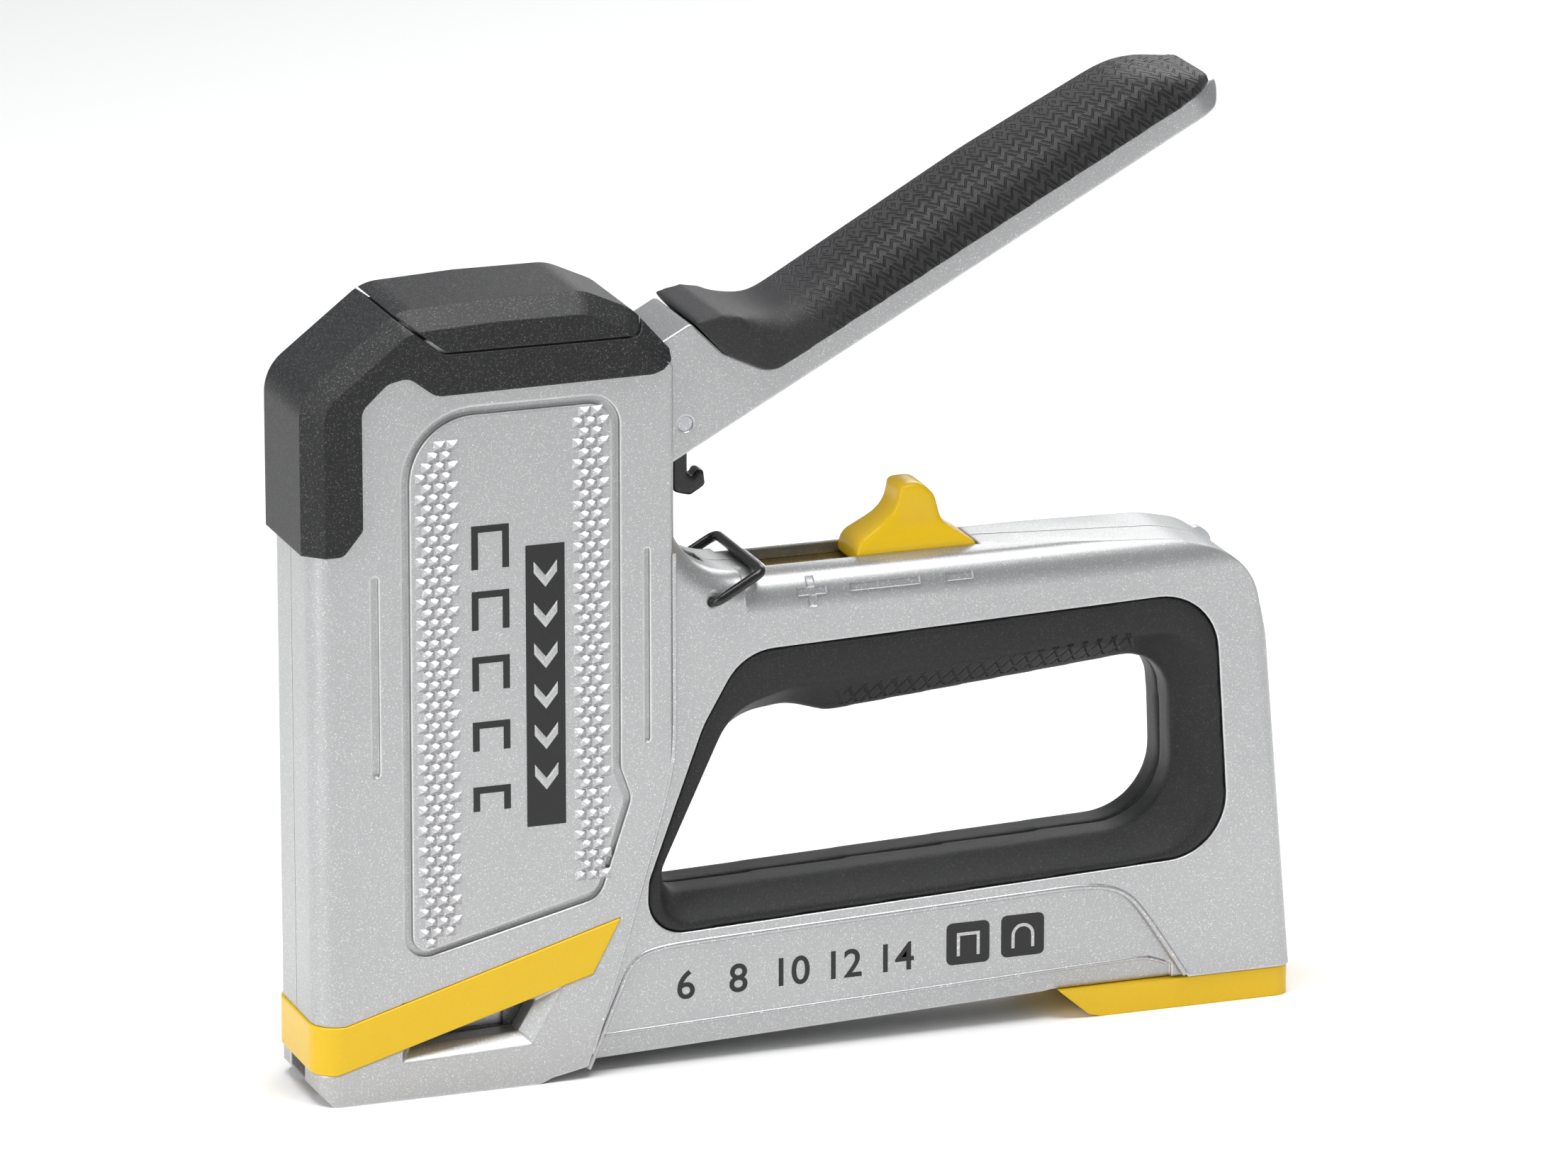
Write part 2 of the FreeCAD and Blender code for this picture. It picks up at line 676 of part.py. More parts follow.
def lever_grip():
    """The rubber grip moulded over the rear of the lever."""
    seat = lever_seat + slide_gap
    side = lever_prism([
        (grip_start + 7.0, seat, 5.0), (grip_start + 1.1, -4.0, 3.0), (grip_start - 1.2, head_top + 0.6),
        (grip_start + 4.0, 3.6, 2.0), (grip_start + 12.0, -3.0, 8.0), (grip_start + 62.0, grip_top),
        (lever_length - 14.0, grip_top - 1.6, 14.0), (lever_length - 1.2, -10.0, 2.0),
        (lever_length - 1.5, seat),
    ], -grip_half, grip_half)
    plan = plan_prism(grip_start - 5, lever_length, grip_half, 1.0, 9.0, -40, 40)
    plan.rotate(Vec(0, 0, 0), ACROSS, -lever_slope)
    plan.translate(Vec(pivot_x, 0, pivot_z))
    body = side.common(plan)
    shoulders = []
    for y in (-1, 1):
        wedge = Part.Face(outline([(y * (grip_half + 1), head_top + 6), (y * 4.0, head_top + 6),
                                   (y * 4.0, grip_top + 2.0), (y * grip_half, grip_top - grip_edge),
                                   (y * (grip_half + 1), grip_top - grip_edge)]))
        wedge.rotate(Vec(0, 0, 0), Vec(0, 0, 1), 90)
        wedge.translate(Vec(grip_start + 12.0, 0, 0))
        wedge = wedge.extrude(Vec(lever_length, 0, 0))
        wedge.rotate(Vec(0, 0, 0), ACROSS, -lever_slope)
        wedge.translate(Vec(pivot_x, 0, pivot_z))
        shoulders.append(wedge)
    return largest(body.cut(shoulders))


def lever_pivot_pin():
    return cross_rod(pivot_x, pivot_z, pin_radius, -tower_half + 1.3, tower_half - 1.3)


def lift_arm(side):
    """One of the two steel arms that lift the striker by its lugs."""
    inner = hub_half + 0.25
    y0 = min(side * inner, side * (inner + arm_thickness))
    y1 = max(side * inner, side * (inner + arm_thickness))
    hub = cross_rod(pivot_x, pivot_z, 7.0, y0, y1)
    tip = cross_rod(tip_x, tip_z, arm_tip_radius, y0, y1)
    along = Vec(tip_x - pivot_x, 0, tip_z - pivot_z).normalize()
    normal = Vec(-along.z, 0, along.x)
    blade_corners = []
    for x, z, half in ((pivot_x, pivot_z, 6.6), (tip_x, tip_z, arm_tip_radius),
                       (tip_x, tip_z, -arm_tip_radius), (pivot_x, pivot_z, -6.6)):
        blade_corners.append((x + normal.x * half, z + normal.z * half))
    blade = prism(blade_corners, y0, y1)
    x, z = on_lever(rivet_u, 0)
    tail = cross_rod(x, z, 4.2, y0, y1)
    arm = fuse([hub, tip, blade, tail])
    return largest(arm.cut([cross_rod(pivot_x, pivot_z, pin_radius + slide_gap, -20, 20),
                            cross_rod(x, z, rivet_radius + pin_gap, -20, 20)]))


def lift_arm_rivets():
    rivets = []
    x, z = on_lever(rivet_u, 0)
    face = hub_half + 0.25 + arm_thickness
    for side in (-1, 1):
        shank = both_sides(x, z, rivet_radius, 4.1, face + 0.01)[0 if side < 0 else 1]
        head = both_sides(x, z, rivet_radius + 0.9, face, face + 0.7)[0 if side < 0 else 1]
        rivets.append(fuse([shank, head]))
    return Part.makeCompound(rivets)


def hook_rivet_place():
    return on_lever(head_start + 9, lever_low + 5)


def lever_hook():
    """The claw under the lever that the bail catches."""
    x, z = hook_rivet_place()
    front = x + 0.2
    foot = z - 16.3
    claw = prism([
        (front, z + 0.3), (front, foot + 1.0, 1.5), (front + 3.6, foot, 1.0), (front + 6.6, foot + 1.8, 0.8),
        (front + 6.2, foot + 4.9, 0.5), (front + 4.8, foot + 4.9, 0.4), (front + 4.3, foot + 3.5, 0.4),
        (front + 3.0, foot + 4.2, 0.6), (front + 3.2, z + 1.8),
    ], -hook_half, hook_half)
    eye = cross_rod(x, z, 3.2, -hook_half, hook_half)
    return largest(fuse([claw, eye]).cut(cross_rod(x, z, hook_rivet_radius + pin_gap, -5, 5)))


def hook_rivet():
    x, z = hook_rivet_place()
    return cross_rod(x, z, hook_rivet_radius, -lever_half + 0.2, lever_half - 0.2)


def return_spring():
    """Torsion spring round the pivot pin, one leg on the housing and one on the lever."""
    radius = 4.5
    thick = 0.6
    body = coil(Vec(pivot_x, -2.2, pivot_z), ACROSS, radius, thick, 4.4, 4)
    down_leg = rod(Vec(pivot_x - radius, -2.2, pivot_z), Vec(pivot_x - radius, -2.2, pivot_z - 17), thick)
    x0, z0 = on_lever(0, radius)
    x1, z1 = on_lever(head_start - 2, radius)
    rear_leg = rod(Vec(x0, 2.2, z0), Vec(x1, 2.2, z1), thick)
    return largest(fuse([body, down_leg, rear_leg]))


# ---------------------------------------------------------------- bail and power slider
def lock_bail():
    """Bent wire that swings up over the hook and holds the lever closed."""
    x1 = bail_x + bail_reach_x
    z1 = bail_z + bail_reach_z
    path = [
        Vec(bail_x, -bail_inner, bail_z), Vec(bail_x, -bail_half, bail_z), Vec(x1, -bail_half, z1),
        Vec(x1, bail_half, z1), Vec(bail_x, bail_half, bail_z), Vec(bail_x, bail_inner, bail_z),
    ]
    pieces = []
    for start, end in zip(path[:-1], path[1:]):
        pieces.append(rod(start, end, bail_wire))
    for bend in path[1:-1]:
        pieces.append(Part.makeSphere(bail_wire, bend))
    return largest(fuse(pieces))


def slider_front():
    return slot_rear - 0.3 - slider_length


def power_slider():
    x0 = slider_front()
    x1 = slot_rear - 0.3
    top = handle_top + slider_height
    base = handle_top - 2.0
    half = slot_half - 0.2
    side = prism([
        (x0, base), (x1, base), (x1, handle_top + 0.2, 0.6), (x0 + 17.6, handle_top + 4.4, 3.0),
        (x0 + 16.2, top - 2.6, 2.0), (x0 + 13.6, top, 1.5), (x0 + 9.2, top, 1.2),
        (x0 + 8.4, handle_top + 7.0, 6.0), (x0 + 0.6, handle_top + 2.2, 3.0), (x0, handle_top),
    ], -half, half)
    face = Part.Face(outline([
        (-half, base), (half, base), (half, handle_top + 0.6), (4.3, handle_top + 4.6, 3.0), (4.2, top, 1.0),
        (-4.2, top, 1.0), (-4.3, handle_top + 4.6, 3.0), (-half, handle_top + 0.6),
    ]))
    face.rotate(Vec(0, 0, 0), Vec(0, 0, 1), 90)
    face.translate(Vec(x0 - 1, 0, 0))
    body = side.common(face.extrude(Vec(slider_length + 2, 0, 0)))
    holes = [rod(Vec(x, 0, base - 1), Vec(x, 0, handle_top + 2), 1.0 + pin_gap) for x in slider_screw_xs()]
    return largest(body.cut(holes))


def slider_screw_xs():
    return [slider_front() + 7.0, slider_front() + 17.0]


def plate_top():
    return handle_top - top_skin - slide_gap


def power_slide_plate():
    """Zinc-plated plate under the slot; its boss carries the yellow button."""
    z1 = plate_top()
    z0 = z1 - plate_thickness
    plate = box(plate_front, slot_rear + 1.0, -plate_half, plate_half, z0, z1)
    rise = box(slider_front() + 1, slot_rear - 1, -slot_half + 0.3, slot_half - 0.3, z1 - 0.1,
               handle_top - 2.0)
    plate = fuse([plate, rise])
    rib_x = slot_front + 8.0
    cuts = [
        box(slot_front + 1.0, rib_x - 0.8, -4.6, 1.5, z0 - 1, z1 + 1),
        box(rib_x + 0.8, slider_front() - 1.5, -4.6, 1.5, z0 - 1, z1 + 1),
    ]
    for x in slider_screw_xs():
        cuts.append(rod(Vec(x, 0, z0 - 1), Vec(x, 0, handle_top), 1.0 + pin_gap))
    return largest(plate.cut(cuts))


def slider_screws():
    z0 = plate_top() - plate_thickness
    screws = []
    for x in slider_screw_xs():
        head = rod(Vec(x, 0, z0 - 1.4), Vec(x, 0, z0), 1.9)
        shank = rod(Vec(x, 0, z0 - 0.1), Vec(x, 0, handle_top + 1.8), 1.0)
        screws.append(fuse([head, shank]))
    return Part.makeCompound(screws)


# ---------------------------------------------------------------- striker train
def striker():
    """Spring cup with its two lugs and the block that holds the driver blade."""
    cup_top = cup_bottom + cup_height
    cup = rod(Vec(cup_x, 0, cup_bottom), Vec(cup_x, 0, cup_top), cup_radius)
    block = box(-1.9, cup_x + 3.0, -6.0, 6.0, striker_bottom, cup_bottom + 1)
    lug_z = tip_z + arm_tip_radius + lug_radius + lug_gap
    lug = cross_rod(lug_x, lug_z, lug_radius, -cavity_half + 0.4, cavity_half - 0.4)
    bore = rod(Vec(cup_x, 0, cup_bottom + cup_floor), Vec(cup_x, 0, cup_top + 1), cup_radius - 1.4)
    slot = box(-blade_thickness / 2 - 0.03, blade_thickness / 2 + 0.03, -crown_half + 0.15,
               crown_half - 0.15, striker_bottom - 1, cup_bottom - 1.0)
    holes = [rod(Vec(-5, y, striker_bottom + 5), Vec(6.5, y, striker_bottom + 5), 1.0 + pin_gap)
             for y in (-3, 3)]
    return largest(fuse([cup, block, lug]).cut([bore, slot] + holes))


def driver_blade():
    half = crown_half - 0.2
    blade = box(-blade_thickness / 2, blade_thickness / 2, -half, half, groove_height + 0.6, cup_bottom - 1.1)
    holes = [rod(Vec(-5, y, striker_bottom + 5), Vec(5, y, striker_bottom + 5), 1.0 + pin_gap)
             for y in (-3, 3)]
    return largest(blade.cut(holes))


def blade_rivets():
    return Part.makeCompound([rod(Vec(-1.8, y, striker_bottom + 5), Vec(6.4, y, striker_bottom + 5), 1.0)
                              for y in (-3, 3)])


def main_spring():
    start = cup_bottom + cup_floor + spring_wire / 2 + 0.05
    length = seat_z - spring_wire / 2 - 0.05 - start
    return coil(Vec(cup_x, 0, start), Vec(0, 0, 1), spring_radius, spring_wire / 2, length, spring_turns)


def spring_guide():
    """Top seat of the main spring with the rod that keeps the coils straight."""
    seat_top = seat_z + seat_thickness
    seat = prism([
        (brow_inner_x(seat_z) + fit_gap, seat_z), (brow_inner_x(seat_top) + fit_gap, seat_top),
        (seat_rear_x - fit_gap, seat_top), (seat_rear_x - fit_gap, seat_z),
    ], -core_cavity_half + fit_gap, core_cavity_half - fit_gap)
    stem = rod(Vec(cup_x, 0, seat_z - guide_rod_length), Vec(cup_x, 0, seat_z + 0.5), guide_rod_radius)
    return largest(fuse([seat, stem]))


def striker_bumper():
    pad = box(cavity_front + 0.2, 12.0, -8.0, 8.0, shelf_top, shelf_top + bumper_height)
    return pad.cut(box(-1.2, 1.2, -crown_half - 0.5, crown_half + 0.5, shelf_top - 1, striker_bottom))


def nose_guide_plate():
    """Hard steel plate that the driver and staples run against."""
    rear = -blade_thickness / 2 - slide_gap
    return box(rear - guide_thickness, rear, -crown_half - 0.9, crown_half + 0.9, groove_height + 0.2,
               shelf_top - shelf_thickness - 1.0)


# ---------------------------------------------------------------- magazine
def inverted_u(x0, x1, half, top, bottom, wall):
    body = box(x0, x1, -half, half, bottom, top)
    return body.cut(box(x0 - 1, x1 + 1, -half + wall, half - wall, bottom - 1, top - wall))


def magazine_channel():
    channel = inverted_u(strip_front + 0.1, channel_rear, channel_half, channel_top, groove_height + 0.9,
                         channel_wall)
    window = box(15.0, 33.0, -20, 20, 10.2, 15.0)
    return channel.cut(window)


def staple_strip():
    return inverted_u(strip_front, strip_front + strip_length, crown_half, crown_top, staple_bottom, wire)


def staple_rail():
    rail = inverted_u(strip_front + 0.2, rail_rear, rail_half, rail_top, groove_height + 1.0, rail_wall)
    return rail.cut(box(pusher_front() - 0.3, carrier_x - 4.0, -1.1, 1.1, rail_top - 3, rail_top + 1))


def pusher_front():
    return strip_front + strip_length + 0.1


def staple_pusher():
    x0 = pusher_front()
    x1 = x0 + pusher_length
    saddle = inverted_u(x0, x1, crown_half - 0.05, crown_top, staple_bottom + 0.4, wire - slide_gap)
    web = box(x0, x1, -0.9, 0.9, 15.0, crown_top - 0.5)
    block = box(x0, x1, -rail_half + rail_wall + 0.15, rail_half - rail_wall - 0.15, 10.4, 15.7)
    return fuse([saddle, web, block]).cut(rod(Vec(x0 - 1, 0, rod_z), Vec(x1 + 1, 0, rod_z), rod_radius + 0.1))


def pusher_rod():
    return rod(Vec(4.0, 0, rod_z), Vec(carrier_x + carrier_length - 2, 0, rod_z), rod_radius)


def pusher_spring():
    start = pusher_front() + pusher_length + pusher_spring_wire / 2 + 0.05
    length = carrier_x - pusher_spring_wire / 2 - 0.05 - start
    return coil(Vec(start, 0, rod_z), Vec(1, 0, 0), pusher_spring_radius, pusher_spring_wire / 2, length,
                pusher_spring_turns)


def magazine_carrier():
    """Block in the tail of the rail that ties rail, rod and heel together."""
    x1 = carrier_x + carrier_length
    half = rail_half - rail_wall - 0.02
    block = box(carrier_x, x1, -half, half, heel_height + 0.02, rail_top - rail_wall - 0.02)
    wings = box(carrier_x, x1, -crown_half, crown_half, heel_height + 0.02, groove_height + 0.7)
    cuts = [rod(Vec(carrier_x - 1, 0, rod_z), Vec(x1 - 1.9, 0, rod_z), rod_radius + pin_gap)]
    for x in heel_screw_xs():
        cuts.append(rod(Vec(x, 0, 0), Vec(x, 0, 10.6), 1.4 + pin_gap))
    return largest(fuse([block, wings]).cut(cuts))


def heel_screw_xs():
    return [carrier_x + 2.6, carrier_x + 7.4]


def rear_heel():
    """Yellow heel under the rear: pull it back to open the magazine."""
    side = prism([
        (heel_front, heel_height), (heel_front + 6.0, 0.6, 2.0), (heel_front + 8.6, 0.0, 3.0),
        (rear_x - 0.2, 0.0, 0.8), (rear_x - 0.1, heel_height),
    ], -heel_half, heel_half)
    plan = plan_prism(heel_front - 1, rear_x - 0.1, heel_half, 2.0, 3.0, -1, 40)
    plug = box(rear_x - 5.0, rear_x - 0.6, -magazine_half + 0.2, magazine_half - 0.2, heel_height - 1,
               magazine_top - 0.3)
    scoop = cross_rod(rear_x + 3.4, 14.0, 5.0, -4.0, 4.0)
    cuts = [scoop]
    for x in heel_screw_xs():
        cuts.append(rod(Vec(x, 0, -1), Vec(x, 0, 10), 1.4 + pin_gap))
        cuts.append(rod(Vec(x, 0, -1), Vec(x, 0, 2.6), 2.6))
    return largest(fuse([side.common(plan), plug]).cut(cuts))


def heel_screws():
    screws = []
    for x in heel_screw_xs():
        head = rod(Vec(x, 0, 0.8), Vec(x, 0, 2.6), 2.4)
        shank = rod(Vec(x, 0, 2.5), Vec(x, 0, 10.4), 1.4)
        screws.append(fuse([head, shank]))
    return Part.makeCompound(screws)


# ---------------------------------------------------------------- write every piece
def build():
    pieces = {
        "left_housing": housing_half(-1),
        "right_housing": housing_half(1),
        "housing_screws": housing_screws(),
        "nose_band": nose_band(),
        "top_cap": top_cap(),
        "cap_insert": cap_insert(),
        "left_grip_liner": grip_liner(-1),
        "right_grip_liner": grip_liner(1),
        "lever": lever(),
        "lever_grip": lever_grip(),
        "lever_pivot_pin": lever_pivot_pin(),
        "left_lift_arm": lift_arm(-1),
        "right_lift_arm": lift_arm(1),
        "lift_arm_rivets": lift_arm_rivets(),
        "lever_hook": lever_hook(),
        "hook_rivet": hook_rivet(),
        "return_spring": return_spring(),
        "lock_bail": lock_bail(),
        "power_slider": power_slider(),
        "power_slide_plate": power_slide_plate(),
        "slider_screws": slider_screws(),
        "striker": striker(),
        "driver_blade": driver_blade(),
        "blade_rivets": blade_rivets(),
        "main_spring": main_spring(),
        "spring_guide": spring_guide(),
        "striker_bumper": striker_bumper(),
        "nose_guide_plate": nose_guide_plate(),
        "magazine_channel": magazine_channel(),
        "staple_strip": staple_strip(),
        "staple_rail": staple_rail(),
        "staple_pusher": staple_pusher(),
        "pusher_rod": pusher_rod(),
        "pusher_spring": pusher_spring(),
        "magazine_carrier": magazine_carrier(),
        "rear_heel": rear_heel(),
        "heel_screws": heel_screws(),
    }
    os.makedirs("parts", exist_ok=True)
    for name, shape in pieces.items():
        shape.exportStep("parts/" + name + ".step")
        print(name, len(shape.Solids), round(shape.Volume, 1), shape.isValid())


build()
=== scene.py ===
import json
import math

import bmesh
import bpy
from mathutils import Matrix, Vector


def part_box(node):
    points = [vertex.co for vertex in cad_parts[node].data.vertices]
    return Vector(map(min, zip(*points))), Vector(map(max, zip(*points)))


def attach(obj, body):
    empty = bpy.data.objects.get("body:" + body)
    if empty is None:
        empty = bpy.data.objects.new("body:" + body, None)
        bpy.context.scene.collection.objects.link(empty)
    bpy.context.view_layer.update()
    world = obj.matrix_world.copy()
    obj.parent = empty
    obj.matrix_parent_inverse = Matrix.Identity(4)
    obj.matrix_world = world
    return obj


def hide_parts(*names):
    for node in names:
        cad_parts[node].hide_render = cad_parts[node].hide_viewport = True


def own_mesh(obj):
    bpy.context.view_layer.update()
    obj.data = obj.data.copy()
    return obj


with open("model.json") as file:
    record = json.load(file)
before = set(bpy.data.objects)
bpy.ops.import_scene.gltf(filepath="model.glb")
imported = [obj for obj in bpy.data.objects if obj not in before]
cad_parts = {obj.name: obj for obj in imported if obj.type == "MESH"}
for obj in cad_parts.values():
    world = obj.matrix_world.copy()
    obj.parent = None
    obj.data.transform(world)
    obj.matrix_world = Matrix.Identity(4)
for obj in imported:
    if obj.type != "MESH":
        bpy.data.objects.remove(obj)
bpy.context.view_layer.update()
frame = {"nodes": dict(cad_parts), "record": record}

# Looks for the cable staple gun. Metres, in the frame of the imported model: the origin is at the work face
# under the driver, X runs to the rear, -Y is the left-hand side, Z is up.

MM = 0.001
nodes = frame["nodes"]


def low(node):
    """Lowest corner of a CAD node."""
    return Vector(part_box(node)[0])


def high(node):
    """Highest corner of a CAD node."""
    return Vector(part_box(node)[1])


def joint(name):
    """A joint of the record, by name."""
    return next(j for j in frame["record"]["behaviour"]["joints"] if j["name"] == name)


PIVOT = Vector(joint("lever_swing")["pos_m"])
BAIL_AXIS = Vector(joint("bail_swing")["pos_m"])
TOWER_SIDE = high("right_housing").y
TOWER_TOP = high("left_housing").z
HANDLE_SIDE = 12 * MM
HANDLE_TOP = BAIL_AXIS.z + 4.2 * MM
SHOULDER = 7.5 * MM             # radius of the handle's rounded top edges
PANEL_DEPTH = 1.2 * MM          # how far the lower panel is sunk below the side of the handle
LEVER_SLOPE = math.radians(28.4)
UPPER_SCREW = Vector((22.0, 92.0))  # X and Z, in millimetres, of the screw in the front knurled strip
SCREW_CLEARANCE = 4.6           # millimetres from that screw to the middle of the nearest pyramid
PRINT_RISE = 0.12 * MM          # how far the black print stands off the casting
SIGN_RISE = (0.1 * MM, 0.2 * MM)    # inner and outer face of what is printed on black


# ---------------------------------------------------------------- camera, lights, floor
def view_axes(turn, tilt):
    """Right, up and back vectors of a camera turned round to the left and tilted down, in degrees."""
    turn = math.radians(turn)
    tilt = math.radians(tilt)
    back = Vector((-math.sin(turn) * math.cos(tilt), -math.cos(turn) * math.cos(tilt), math.sin(tilt)))
    right = (-back).cross(Vector((0, 0, 1))).normalized()
    return right, right.cross(-back), back


def make_camera():
    """A long lens, turned a little to the front and tilted down."""
    right, up, back = view_axes(19.7, 16.6)
    distance = 1.9737
    aim = Vector((low("left_housing").x, 0, 0)) + right * 0.0902 + up * 0.0929
    data = bpy.data.cameras.new("camera")
    data.lens = 244.1
    data.sensor_width = 36.0
    data.clip_start = 0.05
    data.clip_end = 20.0
    camera = bpy.data.objects.new("camera", data)
    turn = Matrix((right, up, back)).transposed().to_4x4()
    camera.matrix_world = Matrix.Translation(aim + back * distance) @ turn
    bpy.context.collection.objects.link(camera)
    bpy.context.scene.camera = camera


def area_light(name, place, target, width, height, power):
    """A rectangular soft light at a place, turned to a target."""
    data = bpy.data.lights.new(name, "AREA")
    data.shape = "RECTANGLE"
    data.size = width
    data.size_y = height
    data.energy = power
    light = bpy.data.objects.new(name, data)
    place = Vector(place)
    light.rotation_euler = (Vector(target) - place).to_track_quat("-Z", "Y").to_euler()
    light.location = place
    bpy.context.collection.objects.link(light)


def make_studio():
    """Soft lights, a pale surround and a pale paper floor."""
    middle = (0.09, 0.0, 0.09)
    area_light("top_softbox", (0.05, -0.1, 1.1), middle, 0.9, 0.5, 15.5)
    area_light("left_softbox", (-1.0, -0.45, 0.5), middle, 0.35, 0.9, 5.8)
    area_light("front_fill", (0.75, -1.2, 0.2), middle, 0.7, 0.5, 0.5)
    area_light("back_rim", (0.7, 0.8, 0.6), middle, 0.6, 0.5, 3.0)
    world = bpy.data.worlds.new("studio")
    world.use_nodes = True
    shade = world.node_tree.nodes["Background"]
    shade.inputs["Color"].default_value = (0.93, 0.945, 0.96, 1)
    shade.inputs["Strength"].default_value = 0.345
    bpy.context.scene.world = world
    bpy.context.scene.view_settings.view_transform = "Standard"
    bm = bmesh.new()
    bmesh.ops.create_grid(bm, x_segments=1, y_segments=1, size=4.0)
    mesh = bpy.data.meshes.new("floor")
    bm.to_mesh(mesh)
    bm.free()
    floor = bpy.data.objects.new("floor", mesh)
    bpy.context.collection.objects.link(floor)
    paper = bpy.data.materials.new("floor_paper")
    paper.use_nodes = True
    surface = paper.node_tree.nodes["Principled BSDF"]
    surface.inputs["Base Color"].default_value = (0.86, 0.86, 0.86, 1)
    surface.inputs["Roughness"].default_value = 0.9
    mesh.materials.append(paper)


# ---------------------------------------------------------------- shader groups
def add(tree, kind, **values):
    """A node with its named inputs set."""
    node = tree.nodes.new(kind)
    for key, value in values.items():
        if hasattr(node, key) and not key[0].isupper():
            setattr(node, key, value)
        else:
            node.inputs[key.replace("_", " ")].default_value = value
    return node


def math_node(tree, operation, first, second=None, third=None):
    """Output of a Math node whose inputs are numbers or sockets."""
    node = tree.nodes.new("ShaderNodeMath")
    node.operation = operation
    for socket, value in zip(node.inputs, (first, second, third)):
        if value is None:
            continue
        if isinstance(value, (int, float)):
            socket.default_value = value
        else:
            tree.links.new(value, socket)
    return node.outputs[0]


def new_group(name, inputs, outputs):
    """A shader group, with the sockets of its inner input and output."""
    group = bpy.data.node_groups.new(name, "ShaderNodeTree")
    for label, kind, value in inputs:
        socket = group.interface.new_socket(label, in_out="INPUT", socket_type=kind)
        socket.default_value = value
    for label, kind in outputs:
        group.interface.new_socket(label, in_out="OUTPUT", socket_type=kind)
    return group, group.nodes.new("NodeGroupInput").outputs, group.nodes.new("NodeGroupOutput").inputs


def make_grain_group():
    """Fine grain: a height for the bump, a mask of lighter specks and a slow drift of tone."""
    group, given, out = new_group(
        "surface_grain",
        [("Scale", "NodeSocketFloat", 5000.0), ("Speck Size", "NodeSocketFloat", 4500.0)],
        [("Height", "NodeSocketFloat"), ("Specks", "NodeSocketFloat"), ("Drift", "NodeSocketFloat")])
    place = group.nodes.new("ShaderNodeTexCoord").outputs["Object"]
    fine = add(group, "ShaderNodeTexNoise", Detail=3.0, Roughness=0.6)
    group.links.new(place, fine.inputs["Vector"])
    group.links.new(given["Scale"], fine.inputs["Scale"])
    group.links.new(fine.outputs["Fac"], out["Height"])
    cells = add(group, "ShaderNodeTexVoronoi")
    group.links.new(place, cells.inputs["Vector"])
    group.links.new(given["Speck Size"], cells.inputs["Scale"])
    split = group.nodes.new("ShaderNodeSeparateColor")
    group.links.new(cells.outputs["Color"], split.inputs["Color"])
    specks = math_node(group, "SMOOTH_MIN", split.outputs[0], 1.0, 0.0)
    specks = math_node(group, "POWER", specks, 14.0)
    group.links.new(specks, out["Specks"])
    slow = add(group, "ShaderNodeTexNoise", Scale=35.0, Detail=4.0, Roughness=0.55)
    group.links.new(place, slow.inputs["Vector"])
    group.links.new(slow.outputs["Fac"], out["Drift"])
    return group


def make_edge_group():
    """Normals rounded over the sharp edges, and a mask of those edges, where handling rubs a finish."""
    group, given, out = new_group(
        "soft_edges", [("Radius", "NodeSocketFloat", 0.5 * MM), ("Spread", "NodeSocketFloat", 1.0)],
        [("Normal", "NodeSocketVector"), ("Mask", "NodeSocketFloat")])
    soft = add(group, "ShaderNodeBevel", samples=6)
    group.links.new(given["Radius"], soft.inputs["Radius"])
    shape = group.nodes.new("ShaderNodeNewGeometry")
    agree = group.nodes.new("ShaderNodeVectorMath")
    agree.operation = "DOT_PRODUCT"
    group.links.new(soft.outputs["Normal"], agree.inputs[0])
    group.links.new(shape.outputs["Normal"], agree.inputs[1])
    turned = math_node(group, "SUBTRACT", 1.0, agree.outputs["Value"])
    noise = add(group, "ShaderNodeTexNoise", Scale=220.0, Detail=3.0)
    place = group.nodes.new("ShaderNodeTexCoord").outputs["Object"]
    group.links.new(place, noise.inputs["Vector"])
    broken = math_node(group, "MULTIPLY", noise.outputs["Fac"], given["Spread"])
    mask = math_node(group, "MULTIPLY", math_node(group, "MULTIPLY", turned, 5.0), broken)
    clamp = group.nodes.new("ShaderNodeClamp")
    group.links.new(mask, clamp.inputs["Value"])
    group.links.new(clamp.outputs[0], out["Mask"])
    group.links.new(soft.outputs["Normal"], out["Normal"])
    return group


def new_material(name, metallic=0.0, roughness=0.5, gloss=0.5):
    """A node material with its constant numbers on the shader's own sockets."""
    material = bpy.data.materials.new(name)
    material.use_nodes = True
    surface = material.node_tree.nodes["Principled BSDF"]
    surface.inputs["Metallic"].default_value = metallic
    surface.inputs["Roughness"].default_value = roughness
    surface.inputs["Specular IOR Level"].default_value = gloss
    return material, material.node_tree, surface


def place_group(tree, group, **values):
    """A copy of a group in a material, with its own values."""
    node = tree.nodes.new("ShaderNodeGroup")
    node.node_tree = group
    for key, value in values.items():
        node.inputs[key.replace("_", " ")].default_value = value
    return node


def mix_colour(tree, factor, first, second):
    """Mixes two colours, each a tuple or a socket."""
    node = tree.nodes.new("ShaderNodeMix")
    node.data_type = "RGBA"
    if isinstance(factor, (int, float)):
        node.inputs["Factor"].default_value = factor
    else:
        tree.links.new(factor, node.inputs["Factor"])
    for socket, value in ((node.inputs[6], first), (node.inputs[7], second)):
        if isinstance(value, tuple):
            socket.default_value = value + (1,)
        else:
            tree.links.new(value, socket)
    return node.outputs[2]


def spread(tree, value, low_value, high_value):
    """Turns a 0 to 1 value into a range."""
    node = tree.nodes.new("ShaderNodeMapRange")
    tree.links.new(value, node.inputs["Value"])
    node.inputs["To Min"].default_value = low_value
    node.inputs["To Max"].default_value = high_value
    return node.outputs["Result"]


